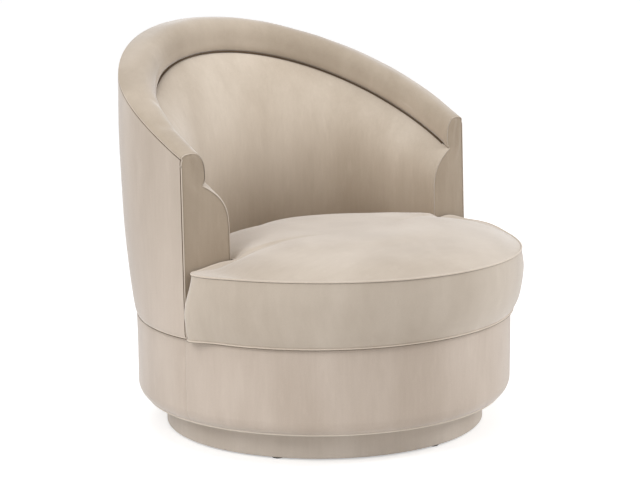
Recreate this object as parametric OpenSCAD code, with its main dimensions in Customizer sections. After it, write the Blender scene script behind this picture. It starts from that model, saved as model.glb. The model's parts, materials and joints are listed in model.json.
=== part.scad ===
// Upholstered barrel swivel chair on a round plinth.
// The swivel axis is Z, the floor is z = 0 and the chair faces -Y.
// Angles round the back are counted from +Y, and left is the -X side.

/* [Plinth] */
// Distance of the plinth's side inside the seat band
plinth_inset = 58; // [55:1:75]
// Height of the wooden frame inside the plinth
plinth_frame_h = 50; // [40:0.5:60]
// Thickness of the ring at the foot of the plinth
plinth_ring_t = 12; // [9:1:15]
// Width of the ring at the foot of the plinth
plinth_ring_w = 60; // [50:1:90]
// Thickness of the board on top of the plinth
plinth_board_t = 18; // [12:1:20]
// Thickness of the bent plywood hoop round the plinth
plinth_hoop_t = 4; // [3:0.5:6]
// Thickness of the padding under the plinth cover
plinth_pad_t = 4.5; // [3:0.5:8]
// Side of a spacer block inside the plinth
plinth_block_w = 44; // [30:1:50]
// Number of floor glides
glide_count = 6; // [4:1:8]
// Radius of one floor glide
glide_r = 12.5; // [8:0.5:15]
// Height of one floor glide
glide_h = 3.5; // [2:0.5:6]
// Distance of a glide's centre from the plinth's edge
glide_inset = 17; // [15:1:24]

/* [Swivel bearing] */
// Radius of the bearing plates
bearing_r = 152; // [145:1:180]
// Height of the bearing from board to board
bearing_h = 8; // [8:0.5:12]
// Thickness of one bearing plate
bearing_plate_t = 2; // [1.5:0.1:2.2]
// Radius of the ring on which the balls run
race_r = 130; // [120:1:136]
// Radius of one ball
ball_r = 3; // [2.8:0.1:3.1]
// Number of balls
ball_count = 24; // [12:1:32]
// Thickness of the ball cage
cage_t = 2; // [1:0.1:2.4]
// Width of the ball cage
cage_w = 16; // [12:1:20]
// Radius of the rivet at the centre
rivet_r = 12; // [8:0.5:14]
// Running clearance of the rivet and of the balls
running_gap = 0.05; // [0.02:0.01:0.1]
// Radius of the circle of screws in the lower plate
lower_screw_r = 100; // [95:1:108]
// Radius of the circle of screws in the upper plate
upper_screw_r = 78; // [60:1:84]

/* [Seat box] */
// Thickness of the board under the seat
base_board_t = 18; // [15:1:21]
// Height of the posts in the seat box
rail_h = 126; // [115:0.5:145]
// Thickness of the ring that carries the seat
seat_ring_t = 18; // [15:1:21]
// Width of the ring that carries the seat
seat_ring_w = 73; // [66:1:90]
// Radius of the lower band over its cover
band_r = 400; // [394:1:410]
// Thickness of the foam round the lower band
band_foam_t = 15.5; // [12:0.5:17]
// Radius of the rounded lower edge of the band
band_round = 35; // [25:1:36]
// Distance of the band's side seams behind the arm fronts
band_seam_in = 18; // [10:1:24]
// Thickness of the bent plywood hoop round the seat box
rail_hoop_t = 5; // [3:0.5:8]
// Side of a post in the seat box
rail_post_w = 40; // [30:1:46]
// Thickness of one seat webbing strap
webbing_t = 1.5; // [1:0.1:2.5]
// Width of one seat webbing strap
webbing_w = 60; // [40:1:75]
// Distance from one seat strap to the next
webbing_pitch = 105; // [85:1:120]
// Thickness of the felt over the seat webbing
deck_felt_t = 3; // [2:0.5:5]
// Thickness of the foam under the deck cloth
deck_foam_t = 10.5; // [8:0.5:15]
// Distance from the deck's edge to the back frame
deck_gap = 13; // [10:1:19]

/* [Back frame] */
// Distance of the wooden back frame inside the seat band's surface
frame_inset = 8.5; // [7.5:0.5:10]
// Depth of the back frame at the arms
frame_d = 32; // [28:1:34]
// How far the top rib is set back from the swivel axis
rib_shift = 14; // [0:1:16]
// Thickness of a rib
rib_t = 18; // [12:1:20]
// Height of the lower posts of the back
lower_post_h = 182; // [150:1:220]
// Width of a post of the back
post_w = 44; // [30:1:50]
// Angle from one post of the back to the next
post_pitch = 31; // [28:1:32]
// Thickness of the board at each arm front
arm_board_t = 18; // [12:1:20]
// Width of a webbing strap behind the back foam
back_strap_w = 50; // [35:1:60]
// Thickness of the panel behind the frame
back_panel_t = 3; // [2:0.5:4]

/* [Arms and rim] */
// Thickness of the upholstery fabric
cover_t = 1.5; // [1:0.1:1.8]
// How far the shell stands out over the seat band at the foot of the arm fronts
arm_out = 10; // [5:1:14]
// How far the arm fronts draw in toward the top, per unit of height
arm_taper = 0.01; // [0:0.002:0.012]
// How far the back flares out at the top, from the seat band's radius
rear_flare = 27; // [18:1:28]
// Height above the deck at which the back is widest
flare_h = 400; // [300:5:450]
// Place of the arm fronts along Y at the deck
front_y = -33; // [-40:1:-15]
// Backward lean of the arm fronts, per unit of height
arm_lean = 0.02; // [0:0.005:0.04]
// Angle by which the arm fronts turn outward
arm_turn = 7; // [4:0.5:10]
// Height of the rim above the floor at the swivel axis
ridge_h = 635; // [600:1:680]
// Slope of the rim from the arms up to the back
rim_slope = 0.54; // [0.4:0.01:0.56]
// Distance of the rim's highest line inside the seat band's surface
ridge_inset = 17; // [10:1:20]
// Distance of the rim's inner side inside the seat band's surface
rim_inset = 51; // [49:1:56]
// Drop from the rim's top to its outer seam at the arms
seam_drop_front = 12; // [8:1:24]
// Drop from the rim's top to its outer seam at the back
seam_drop_rear = 4; // [3:1:16]
// Drop from the rim's top to the fullest part of its inner side
rim_side = 48; // [40:1:55]
// Drop from the rim's top to the crease under it at the arms
crease_drop_front = 67; // [62:1:80]
// Drop from the rim's top to the crease under it at the back
crease_drop_rear = 75; // [68:1:90]
// Distance from the inner back to the seat band's surface where it meets the cushion
pad_inset = 106; // [100:1:114]
// Forward shift of the inner back where it meets the cushion
pad_shift = 23; // [10:1:30]
// Height above the floor at which the inner back is fullest
pad_z = 430; // [400:1:450]
// Thickness of the foam behind an arm front's cover
arm_foam_t = 10; // [6:1:14]

/* [Seat cushion] */
// How far the cushion's upper seam stands out over the seat band at the front
cushion_out = 28; // [14:0.5:30]
// How far the cushion's lower seam is tucked in at the front
cushion_tuck = 11; // [0:1:14]
// How far the cushion's sides bulge beyond the seams
cushion_bulge = 3.5; // [2:0.5:5]
// Height of the cushion from seam to seam
cushion_side_h = 136; // [110:1:145]
// Height of the crown above the upper seam
crown_h = 46; // [30:1:55]
// Clearance between the bulged cushion and the chair
cushion_gap = 1.3; // [0.5:0.1:2]
// Extra clearance behind the cushion, for its zip
zip_gap = 3; // [3:0.1:5]
// Radius of the cushion's outer corners
cushion_corner_r = 20; // [14:1:28]
// Radius of the cushion's inner corners
cushion_notch_r = 12; // [10:1:16]
// Radius of the welt along the cushion's seams
welt_r = 2; // [1.5:0.1:2.4]
// Thickness of the fibre wrap round the foam core
wrap_t = 14; // [8:1:20]
// Angle from the middle of the zip to each end
zip_angle = 58; // [40:1:65]
// Length of the zip's pull tab
pull_l = 22; // [14:1:30]

/* [Hidden] */

// Facets of the large and of the small round shapes
$fn = 180;
small_fn = 32;
// Gap between layers of upholstery, and overshoot of a cut
layer_gap = 0.3;
cut = 1;
// Reach of the blocks that cut the model in two
far = 900;

// Heights from the floor up
plinth_z = glide_h + cover_t;
plinth_top_z = plinth_z + plinth_frame_h;
plinth_board_z = plinth_top_z - plinth_board_t;
plinth_r = band_r - plinth_inset;
plinth_frame_r = plinth_r - cover_t - plinth_pad_t - plinth_hoop_t;
base_z = plinth_top_z + bearing_h;
race_z = plinth_top_z + bearing_h / 2;
rail_z = base_z + base_board_t;
ring_z = rail_z + rail_h;
webbing_z = ring_z + seat_ring_t;
felt_z = webbing_z + 2 * webbing_t;
deck_foam_z = felt_z + deck_felt_t;
deck_cloth_z = deck_foam_z + deck_foam_t;
deck_z = deck_cloth_z + cover_t;
mid_rib_z = webbing_z + lower_post_h;
shell_z = deck_z + 1;

// Radii set out from the seat band
frame_r = band_r - frame_inset;
arm_r = band_r + arm_out;
ridge_r = band_r - ridge_inset;
rim_in_r = band_r - rim_inset;
pad_r = band_r - pad_inset;
cushion_r = band_r + cushion_out;

// Radii of the seat box and the back frame
seat_ring_in_r = frame_r - seat_ring_w;
hoop_r = band_r - cover_t - band_foam_t;
rail_r = hoop_r - rail_hoop_t;
frame_in_r = frame_r - frame_d;
deck_r = frame_in_r - deck_gap;
strap_y = sqrt(pow(frame_in_r, 2) - pow(back_strap_w / 2, 2)) - webbing_t - layer_gap;
hessian_t = 1;
hessian_r = strap_y - layer_gap - hessian_t;
crease_r = hessian_r - cover_t - 2 * layer_gap;

// Screws: shank, head and depth, and where they stand
screw_r = 2.2;
head_r = 4.2;
head_h = 2.4;
plate_head_h = 1.5;
wood_screw_l = 48;
plate_screw_l = 14;
nail_r = 1.6;
nail_l = 14;
plate_screw_count = 8;
rail_post_count = 8;
rail_post_start = 22.5;
rail_screw_r = rail_r - rail_post_w / 2;
board_edge_r = rail_screw_r + head_r + 1;
board_edge_z = base_z + 11.5;
band_hem_r = band_r - band_round - 13;
post_angles = [for (i = [-2:2]) i * post_pitch];
post_screw_radii = [frame_in_r + 8, frame_in_r + 18];
rivet_head_r = 18;
rivet_head_h = 1.8;
rivet_room_r = 25;

// Depth of the foam below its cover's surface, and the gap between the frame and its panel
foam_off = cover_t + 3 * layer_gap;
foam_depth = arm_foam_t + cover_t + layer_gap;
panel_gap = 1.5;
post_back = 0.8;
// Drops of the top rib and of the rim foam's lower edge below the rim
rib_drop = 30;
rim_foam_end = 49;
pad_start = 0.06;

// Stations round the shell and steps over the rim
stations = 30;
cap_steps = 8;
cap_power = 0.8;
outer_share = 0.42;
flare_share = 0.43;
flare_power = 0.7;
pad_power = 2.3;

// Cushion: centre of its crown, its steepness, and its levels
crown_y = -150;
crown_power = 4.5;
crown_steps = [0.4, 0.62, 0.78, 0.9, 0.97];
tuck_reach = 120;
cushion_z = deck_z + layer_gap;
seam_low_z = cushion_z + welt_r + layer_gap;
seam_high_z = seam_low_z + cushion_side_h;
cushion_rear_r = pad_r - zip_gap - cushion_gap - cushion_bulge;
ear_gap = cushion_bulge + cushion_gap;

// Zip on the cushion's rear boxing
zip_z = (seam_low_z + seam_high_z) / 2;
zip_r = cushion_rear_r + cushion_bulge + 0.2;
tape_t = 0.7;
tape_w = 14;
teeth_t = 1;
teeth_w = 3;
slider_gap = 0.2;
slider_angle = 1.6;
slider_w = 9;
slider_r = pad_r - 0.5;
pull_angle = 1;
pull_t = 1;

// Small helpers
function clamped(t) = min(1, max(0, t));
function eased(t) = let (u = clamped(t)) u * u * (3 - 2 * u);
function mix(a, b, t) = a + (b - a) * t;
function arc(c, r, from, to, n) = [for (i = [0:n]) let (a = mix(from, to, i / n)) c + r * [cos(a), sin(a)]];
function reversed(list) = [for (i = [len(list) - 1:-1:0]) list[i]];
function joined(lists) = [for (list = lists) each list];

// Where a line from q along d leaves the circle of radius r round c
function leaves(q, d, c, r) = let (w = q - c, b = w * d) q + d * (sqrt(b * b - w * w + r * r) - b);

// The plane of the right arm front, at a depth behind its surface
panel_dir = [cos(arm_turn), sin(arm_turn)];
panel_normal = [sin(arm_turn), -cos(arm_turn)];
function arm_point(z, depth) = [arm_r, front_y] - panel_normal * (depth + arm_lean * (z - deck_z));
half_angle = 90 - atan2(front_y, arm_r);

// Heights of the rim's ridge, seam and crease at a station f from -1 to 1
function rise(f) = cos(f * half_angle);
function ridge_z(f) = ridge_h + rim_slope * ridge_r * rise(f);
function seam_drop(f) = mix(seam_drop_front, seam_drop_rear, max(0, rise(f)));
function seam_z(f) = ridge_z(f) - seam_drop(f);
function crease_z(f) = ridge_z(f) - mix(crease_drop_front, crease_drop_rear, max(0, rise(f)));
function rim_plane_z(drop, y) = ridge_h - drop + rim_slope * y;

// Outer radius of the shell at a station and height
function rear_r(z) = band_r + rear_flare * pow(sin(90 * max(0, z - deck_z) / flare_h), flare_power);
function side_r(z) = arm_r - arm_taper * (z - deck_z);
function outer_r(f, z) = mix(side_r(z), rear_r(z), eased((1 - abs(f)) / flare_share));

// Points of the shell's section, each as [radius, height, centre y]; off is the depth below the surface
foot_levels = [[0, 5], [4, 2.5], [11, 0.6], [20, 0]];
wall_shares = [0.2, 0.4, 0.6, 0.8, 0.97];
function outer_side(f, off) = joined([
    [for (p = foot_levels) [outer_r(f, shell_z + p[0]) - p[1] - off, shell_z + p[0], 0]],
    [for (t = wall_shares) let (z = mix(shell_z + 20, seam_z(f), t)) [outer_r(f, z) - off, z, 0]],
    [[outer_r(f, seam_z(f)) - off - 0.8, seam_z(f) - 0.5, 0]]]);
function cap_point(f, off, a) = let (
    z = seam_z(f),
    r = outer_r(f, z) - off,
    w = r - rim_in_r - off,
    side = pow(abs(cos(a)), cap_power),
    drop = 1 - pow(sin(a), cap_power))
    a <= 90
        ? [r - w * outer_share * (1 - side), ridge_z(f) - off * sin(a) - seam_drop(f) * drop, 0]
        : [r - w * (outer_share + (1 - outer_share) * side), ridge_z(f) - off * sin(a) - rim_side * drop, 0];
function rim_cap(f, off) = [for (i = [0:cap_steps]) cap_point(f, off, 180 * i / cap_steps)];
function pad_blend(t) = pow(1 - sin(90 * t), pad_power);
function pad_point(f, off, t) = [mix(pad_r, crease_r, pad_blend(t)) + off, mix(crease_z(f), pad_z, t),
    pad_shift * (pad_blend(t) - 1)];
pad_shares = [0.05, 0.13, 0.25, 0.42, 0.65, 1];
function inner_side(f, off, start) = concat([for (t = pad_shares) if (t > start) pad_point(f, off, t)],
    [[pad_r + off, cushion_z, -pad_shift]]);
function inner_cover_line(f, off) = concat([[crease_r + off, crease_z(f) - 1 - off, 0]],
    inner_side(f, off, 0));
function rim_cover_line(f, off) = concat(rim_cap(f, off), [[crease_r + off, crease_z(f) + 1 + off, 0]]);

// Angle of station f on a circle that meets the arm front at height z; only the end stations heed the depth
function station_angle(f, r, z, centre, depth) = let (
    q = leaves(arm_point(z, abs(f) == 1 ? depth : 0), panel_dir, [0, centre], r))
    f * atan2(q.x, q.y - centre);

// A point of a section set out at station f, where e is the same point at the arm front
function set_out(f, p, e, depth) = let (a = station_angle(f, e[0], e[1], e[2], depth))
    [p[0] * sin(a), p[2] + p[0] * cos(a), p[1]];

// A solid swept from arm front to arm front, with a closed section given by the function loop
module around(loop, depth) {
    ends = loop(1);
    n = len(ends);
    points = [for (i = [0:stations]) let (f = 2 * i / stations - 1, row = loop(f))
        for (j = [0:n - 1]) set_out(f, row[j], ends[j], depth)];
    sides = [for (i = [0:stations - 1], j = [0:n - 1]) let (
        a = i * n + j,
        b = i * n + (j + 1) % n)
        each [[a, a + n, b + n], [a, b + n, b]]];
    caps = [[for (j = [0:n - 1]) j], [for (j = [n - 1:-1:0]) stations * n + j]];
    polyhedron(points, concat(sides, caps), convexity = 6);
}

// All of space in front of the arm fronts, from a depth behind their surface
module in_front(depth) {
    for (side = [0, 1]) {
        mirror([side, 0, 0])
            translate([arm_r, front_y, deck_z])
                rotate([0, 0, arm_turn])
                    rotate([-atan(arm_lean), 0, 0])
                        translate([-600, depth - far, -far])
                            cube([far, far, 2 * far]);
    }
}

// All of space above the sloping plane that lies a drop below the rim's ridge
module above_rim(drop) {
    translate([0, 0, ridge_h - drop])
        rotate([atan(rim_slope), 0, 0])
            translate([-far, -far, 0])
                cube([2 * far, 2 * far, far]);
}

// A ring between two radii, its outer wall set back by shift
module ring(r_in, r_out, z, h, shift = 0) {
    difference() {
        translate([0, shift, z])
            cylinder(r = r_out, h = h);
        translate([0, 0, z - cut])
            cylinder(r = r_in, h = h + 2 * cut);
    }
}

// Copies of the children round the swivel axis
module round_axis(count, start = 0) {
    for (i = [0:count - 1]) {
        rotate([0, 0, start + i * 360 / count])
            children();
    }
}

// A screw along +Z with its head below z = 0, or a hole of the same shape
module screw(length, head = head_h) {
    cylinder(r = screw_r, h = length, $fn = small_fn);
    translate([0, 0, -head])
        cylinder(r = head_r, h = head, $fn = small_fn);
}

// Plinth
module glide_places() {
    round_axis(glide_count, 30)
        translate([plinth_r - glide_inset, 0, 0])
            children();
}

module floor_glides() {
    color("black")
        glide_places()
            difference() {
                rotate_extrude($fn = 48)
                    polygon([[0, 0], [glide_r - 1, 0], [glide_r, 1], [glide_r, glide_h], [0, glide_h]]);
                nail();
            }
}

// A nail with its head sunk in the glide
module nail() {
    translate([0, 0, 1])
        cylinder(r = nail_r, h = nail_l, $fn = small_fn);
    translate([0, 0, 1])
        cylinder(r = 2 * nail_r, h = 1, $fn = small_fn);
}

module glide_nails() {
    color("silver")
        glide_places()
            nail();
}

module plinth_ring() {
    color("burlywood")
        difference() {
            ring(plinth_frame_r - plinth_ring_w, plinth_frame_r, plinth_z, plinth_ring_t);
            glide_places()
                nail();
        }
}

module plinth_blocks() {
    color("burlywood")
        round_axis(8)
            translate([plinth_frame_r - plinth_ring_w / 2 - plinth_block_w / 2, -plinth_block_w / 2,
                plinth_z + plinth_ring_t])
                cube([plinth_block_w, plinth_block_w, plinth_board_z - plinth_z - plinth_ring_t]);
}

module plinth_board() {
    color("burlywood")
        difference() {
            ring(rivet_room_r, plinth_frame_r, plinth_board_z, plinth_board_t);
            lower_screw_places()
                screw(plate_screw_l);
        }
}

module plinth_hoop() {
    color("tan")
        ring(plinth_frame_r, plinth_frame_r + plinth_hoop_t, plinth_z, plinth_frame_h);
}

module plinth_padding() {
    color("ivory")
        ring(plinth_frame_r + plinth_hoop_t, plinth_r - cover_t, plinth_z, plinth_frame_h);
}

// The plinth's cover is turned in below the foot ring, and held there by the glides
module plinth_cover() {
    hem_r = plinth_r - glide_inset - glide_r - 4;
    color([0.78, 0.73, 0.67])
        difference() {
            rotate_extrude()
                polygon(concat(
                    [[hem_r, plinth_z], [hem_r, glide_h]],
                    arc([plinth_r - cover_t, plinth_z], cover_t, -90, 0, 4),
                    [[plinth_r, plinth_top_z], [plinth_r - cover_t, plinth_top_z],
                        [plinth_r - cover_t, plinth_z]]));
            glide_places()
                nail();
        }
}

// Swivel bearing
module lower_screw_places() {
    round_axis(plate_screw_count)
        translate([lower_screw_r, 0, plinth_top_z + bearing_plate_t])
            mirror([0, 0, 1])
                children();
}

module upper_screw_places() {
    round_axis(plate_screw_count)
        translate([upper_screw_r, 0, base_z - bearing_plate_t])
            children();
}

// The groove in which the balls run
module race() {
    translate([0, 0, race_z])
        rotate_extrude()
            translate([race_r, 0])
                circle(r = ball_r + running_gap, $fn = small_fn);
}

module swivel_lower_plate() {
    color("lightsteelblue")
        difference() {
            ring(rivet_r + running_gap, bearing_r, plinth_top_z, bearing_plate_t);
            race();
            lower_screw_places()
                screw(plate_screw_l, plate_head_h);
        }
}

module swivel_lower_screws() {
    color("silver")
        lower_screw_places()
            screw(plate_screw_l, plate_head_h);
}

module bearing_cage() {
    color("goldenrod")
        difference() {
            ring(race_r - cage_w / 2, race_r + cage_w / 2, race_z - cage_t / 2, cage_t);
            round_axis(ball_count)
                translate([race_r, 0, race_z - cage_t])
                    cylinder(r = ball_r + running_gap, h = 2 * cage_t, $fn = small_fn);
        }
}

module bearing_balls() {
    color("silver")
        round_axis(ball_count)
            translate([race_r, 0, race_z])
                sphere(r = ball_r, $fn = small_fn);
}

module swivel_upper_plate() {
    color("lightsteelblue")
        difference() {
            ring(rivet_r, bearing_r, base_z - bearing_plate_t, bearing_plate_t);
            race();
            upper_screw_places()
                screw(plate_screw_l, plate_head_h);
        }
}

module swivel_upper_screws() {
    color("silver")
        upper_screw_places()
            screw(plate_screw_l, plate_head_h);
}

// The rivet is pressed in the upper plate and turns in the lower one
module swivel_rivet() {
    low = plinth_top_z - running_gap;
    color("silver")
        difference() {
            union() {
                translate([0, 0, low - rivet_head_h])
                    cylinder(r = rivet_head_r, h = rivet_head_h, $fn = 64);
                translate([0, 0, low])
                    cylinder(r = rivet_r, h = base_z - low);
                translate([0, 0, base_z])
                    cylinder(r = rivet_head_r, h = rivet_head_h, $fn = 64);
            }
            translate([0, 0, low - rivet_head_h - cut])
                cylinder(r = rivet_r - 3, h = bearing_h + 2 * rivet_head_h + 3 * cut);
        }
}

// Seat box
module rail_places() {
    round_axis(rail_post_count, rail_post_start)
        translate([rail_screw_r, 0, 0])
            children();
}

// Screws up through the base board and down through the seat ring
module rail_screw_pairs() {
    rail_places() {
        translate([0, 0, base_z + head_h])
            screw(wood_screw_l);
    }
    rail_places() {
        translate([0, 0, webbing_z - head_h])
            mirror([0, 0, 1])
                screw(wood_screw_l);
    }
}

module rail_screws() {
    color("silver")
        rail_screw_pairs();
}

module seat_base_board() {
    color("burlywood")
        difference() {
            rotate_extrude()
                polygon([[rivet_room_r, base_z], [board_edge_r, base_z], [hoop_r, board_edge_z],
                    [hoop_r, rail_z], [rivet_room_r, rail_z]]);
            rail_screw_pairs();
            upper_screw_places()
                screw(plate_screw_l, plate_head_h);
        }
}

module dust_cover() {
    color("dimgray")
        ring(bearing_r + 4, band_hem_r - cut, base_z - cover_t, cover_t);
}

module rail_posts() {
    color("burlywood")
        difference() {
            intersection() {
                rail_places() {
                    translate([-rail_post_w / 2, -rail_post_w / 2, rail_z])
                        cube([rail_post_w, rail_post_w, rail_h]);
                }
                translate([0, 0, rail_z - cut])
                    cylinder(r = rail_r, h = rail_h + 2 * cut);
            }
            rail_screw_pairs();
        }
}

module rail_hoop() {
    color("tan")
        ring(rail_r, hoop_r, rail_z, rail_h);
}

module seat_ring() {
    color("burlywood")
        difference() {
            ring(seat_ring_in_r, frame_r, ring_z, seat_ring_t);
            rail_screw_pairs();
            post_screw_places()
                screw(wood_screw_l);
        }
}

// Section of the foam round the band, from the deck's edge down to the board's underside
module band_foam() {
    round_r = band_round - cover_t;
    round_c = [band_r - band_round, base_z - cover_t + band_round];
    color("ivory")
        rotate_extrude()
            polygon(concat(
                [[board_edge_r, base_z]],
                arc(round_c, round_r, -90, 0, 8),
                [[band_r - cover_t, deck_cloth_z], [frame_r + 1, deck_cloth_z], [frame_r + 1, ring_z],
                    [hoop_r, ring_z], [hoop_r, board_edge_z]]));
}

// The foam on the seat ring in front of the arms, under the cushion's front edge
module front_edge_foam() {
    color("ivory")
        intersection() {
            ring(deck_r, frame_r + 1, webbing_z, deck_cloth_z - webbing_z);
            in_front(arm_foam_t);
        }
}

// The band's skin, turned in under the board, and at the top as far as reach
module band_skin(reach) {
    low_z = base_z - cover_t;
    round_c = [band_r - band_round, low_z + band_round];
    rotate_extrude()
        polygon(concat(
            [[band_hem_r, base_z], [band_hem_r, low_z]],
            arc(round_c, band_round, -90, 0, 8),
            arc([band_r - 4, deck_z - 4], 4, 0, 90, 4),
            [[reach, deck_z], [reach, deck_cloth_z]],
            [[band_r - cover_t, deck_cloth_z]],
            arc(round_c, band_round - cover_t, 0, -90, 8)));
}

module band_cover_front() {
    color([0.8, 0.75, 0.69])
        difference() {
            intersection() {
                band_skin(deck_r);
                in_front(band_seam_in);
            }
            difference() {
                deck_layer(frame_r + 1, deck_cloth_z - cut, cover_t + 2 * cut);
                in_front(cut);
            }
        }
}

module band_cover_rear() {
    color([0.76, 0.71, 0.65])
        difference() {
            band_skin(frame_r + 1);
            in_front(band_seam_in + layer_gap);
        }
}

// Straps across the seat ring, cut to the circle in which they are stapled
module seat_straps(z) {
    reach = deck_r - 2;
    intersection() {
        translate([0, 0, z])
            cylinder(r = reach, h = webbing_t);
        for (i = [-2:2]) {
            translate([i * webbing_pitch - webbing_w / 2, -far / 2, z - cut])
                cube([webbing_w, far, webbing_t + 2 * cut]);
        }
    }
}

module seat_webbing_long() {
    color("dimgray")
        seat_straps(webbing_z);
}

module seat_webbing_cross() {
    color("gray")
        rotate([0, 0, 90])
            seat_straps(webbing_z + webbing_t);
}

module deck_layer(r, z, h) {
    translate([0, 0, z])
        cylinder(r = r, h = h);
}

module deck_felt() {
    color("slategray")
        deck_layer(deck_r - cut, felt_z, deck_felt_t);
}

module deck_foam() {
    color("ivory")
        deck_layer(deck_r - cut, deck_foam_z, deck_foam_t);
}

module deck_cloth() {
    color("darkgray")
        deck_layer(deck_r - layer_gap, deck_cloth_z, cover_t);
}

// Back frame
// Outer radius of a post at an angle from +Y and a height
function post_r(angle, z) = frame_r - post_back + rib_shift * cos(angle) * max(0, z - deck_z)
    / (rim_plane_z(rib_drop, frame_r * cos(angle)) - deck_z);

module back_posts(z, top) {
    for (angle = post_angles) {
        rotate([0, 0, -angle])
            rotate([90, 0, 90])
                linear_extrude(post_w, center = true)
                    polygon([[frame_in_r, z], [post_r(angle, z), z], [post_r(angle, top), top],
                        [frame_in_r, top]]);
    }
}

// The frame's posts are trimmed to the curve of the ribs inside and out
module trim_posts(z, h, shift) {
    intersection() {
        children();
        ring(frame_in_r, frame_r, z, h, shift);
    }
}

module post_screw_places() {
    for (angle = post_angles, r = post_screw_radii) {
        rotate([0, 0, -angle])
            translate([0, r, ring_z + head_h])
                children();
    }
    for (side = [0, 1]) {
        mirror([side, 0, 0])
            arm_frame(frame_r, arm_foam_t + cover_t + arm_board_t / 2 + layer_gap)
                translate([-frame_d / 2, 0, ring_z + head_h - deck_z])
                    children();
    }
}

module post_screws() {
    color("silver")
        post_screw_places()
            screw(wood_screw_l);
}

// Lower posts stand on the seat ring and carry the middle rib
module back_posts_lower() {
    color("burlywood")
        difference() {
            trim_posts(webbing_z, lower_post_h, mid_shift)
                back_posts(webbing_z, mid_rib_z);
            post_screw_places()
                screw(wood_screw_l);
        }
}

rear_rib_z = rim_plane_z(rib_drop, frame_r);
mid_shift = rib_shift * (mid_rib_z - deck_z) / (rear_rib_z - deck_z);
board_back = arm_foam_t + cover_t + arm_board_t + 2 * layer_gap;

module mid_rib() {
    color("burlywood")
        difference() {
            ring(frame_in_r, frame_r, mid_rib_z, rib_t, mid_shift);
            in_front(board_back);
        }
}

// Upper posts end under the sloping top rib
module back_posts_upper() {
    top = rim_plane_z(0, frame_r + rib_shift);
    color("burlywood")
        difference() {
            trim_posts(mid_rib_z + rib_t, top - mid_rib_z, rib_shift)
                back_posts(mid_rib_z + rib_t, top);
            above_rim(rib_drop + rib_t);
        }
}

module top_rib() {
    low = rim_plane_z(rib_drop + 2 * rib_t, -frame_r);
    color("burlywood")
        difference() {
            ring(frame_in_r, frame_r, low, ridge_h, rib_shift);
            above_rim(rib_drop);
            difference() {
                ring(frame_in_r - 5, frame_r + 5, low - cut, ridge_h + 2 * cut, rib_shift);
                above_rim(rib_drop + rib_t);
            }
            in_front(board_back);
        }
}

// Right arm front's own frame: x runs outward from where radius r meets its plane, z up from the deck
module arm_frame(r, depth) {
    foot = leaves(arm_point(deck_z, depth), panel_dir, [0, 0], r);
    translate([foot.x, foot.y, deck_z])
        rotate([0, 0, arm_turn])
            children();
}

module arm_front_boards() {
    color("burlywood")
        for (side = [0, 1]) {
            mirror([side, 0, 0])
                difference() {
                    arm_frame(frame_r, foam_depth)
                        rotate([-atan(arm_lean), 0, 0])
                            translate([-frame_d, 0, webbing_z - deck_z])
                                cube([frame_d, arm_board_t, ridge_h - webbing_z]);
                    above_rim(rib_drop);
                    translate([0, 0, webbing_z - far])
                        cylinder(r = far, h = far);
                    post_screw_places()
                        screw(wood_screw_l);
                }
        }
}

// Straps from the seat ring to the top rib, on the inner side of the ribs
module back_webbing() {
    color("dimgray")
        difference() {
            for (i = [-3:3]) {
                rotate([0, 0, i * 24])
                    translate([-back_strap_w / 2, strap_y, webbing_z])
                        cube([back_strap_w, webbing_t, ridge_h]);
            }
            above_rim(rib_drop + 2);
        }
}

module back_hessian() {
    color("peru")
        difference() {
            ring(hessian_r, hessian_r + hessian_t, deck_z, ridge_h);
            above_rim(rib_drop + 4);
            in_front(board_back);
        }
}

// Upholstery of the back, the rim and the arms
function back_foam_loop(f) = let (
    front = inner_side(f, foam_off, pad_start),
    back_r = hessian_r - layer_gap)
    concat([[back_r, front[0][1] + 6, 0]], front, [[back_r, cushion_z, 0]]);

module back_foam() {
    color("ivory")
        around(function (f) back_foam_loop(f), foam_depth);
}

module inner_back_cover() {
    color([0.74, 0.69, 0.62])
        around(function (f) concat(inner_cover_line(f, 0), reversed(inner_cover_line(f, cover_t))),
            cover_t + layer_gap);
}

// Place along Y of a point on the top rib at a station, for a circle round [0, centre]
function rib_y(f, r, centre) = centre
    + r * cos(station_angle(f, r, ridge_h - rib_drop, centre, foam_depth));

// The panel and what lies on it, from the frame's radius at the foot to the set-back top rib
panel_foot_z = shell_z + foot_levels[2][0];
function frame_foot(off) = [frame_r + off, panel_foot_z, 0];
function frame_top(f, off) = let (r = frame_r + off)
    [r, rim_plane_z(rib_drop + 0.5, rib_y(f, r, rib_shift)), rib_shift];

module outer_back_panel() {
    color("tan")
        around(function (f) [frame_foot(panel_gap), frame_foot(panel_gap + back_panel_t),
            frame_top(f, panel_gap + back_panel_t), frame_top(f, panel_gap)], foam_depth);
}

module outer_wadding() {
    off = panel_gap + back_panel_t + layer_gap;
    color("ivory")
        around(function (f) let (skin = outer_side(f, foam_off + layer_gap), n = len(skin)) concat(
            [frame_foot(off)],
            [for (i = [2:n - 1]) skin[i] - [0, i == n - 1 ? 3 : 0, 0]],
            [frame_top(f, off) - [0, 2, 0]]), foam_depth);
}

module outer_back_cover() {
    color([0.78, 0.73, 0.67])
        around(function (f) concat(outer_side(f, 0), reversed(outer_side(f, cover_t))), cover_t + layer_gap);
}

// The rim's foam saddles the top rib
function rim_foam_loop(f) = let (
    saddle_in = hessian_r - layer_gap,
    end_z = ridge_z(f) - rim_foam_end,
    top_in = rim_plane_z(rib_drop - 2 * layer_gap, rib_y(f, saddle_in, 0)),
    top_out = frame_top(f, panel_gap + back_panel_t + layer_gap))
    concat([for (i = [0:cap_steps - 1]) cap_point(f, foam_off, 180 * i / cap_steps)],
        [[rim_in_r + 2 * cover_t + 1, end_z, 0], [saddle_in, end_z, 0], [saddle_in, top_in, 0],
            top_out + [0, 0.8 + layer_gap, 0]]);

module rim_foam() {
    color("ivory")
        around(function (f) rim_foam_loop(f), foam_depth);
}

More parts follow.
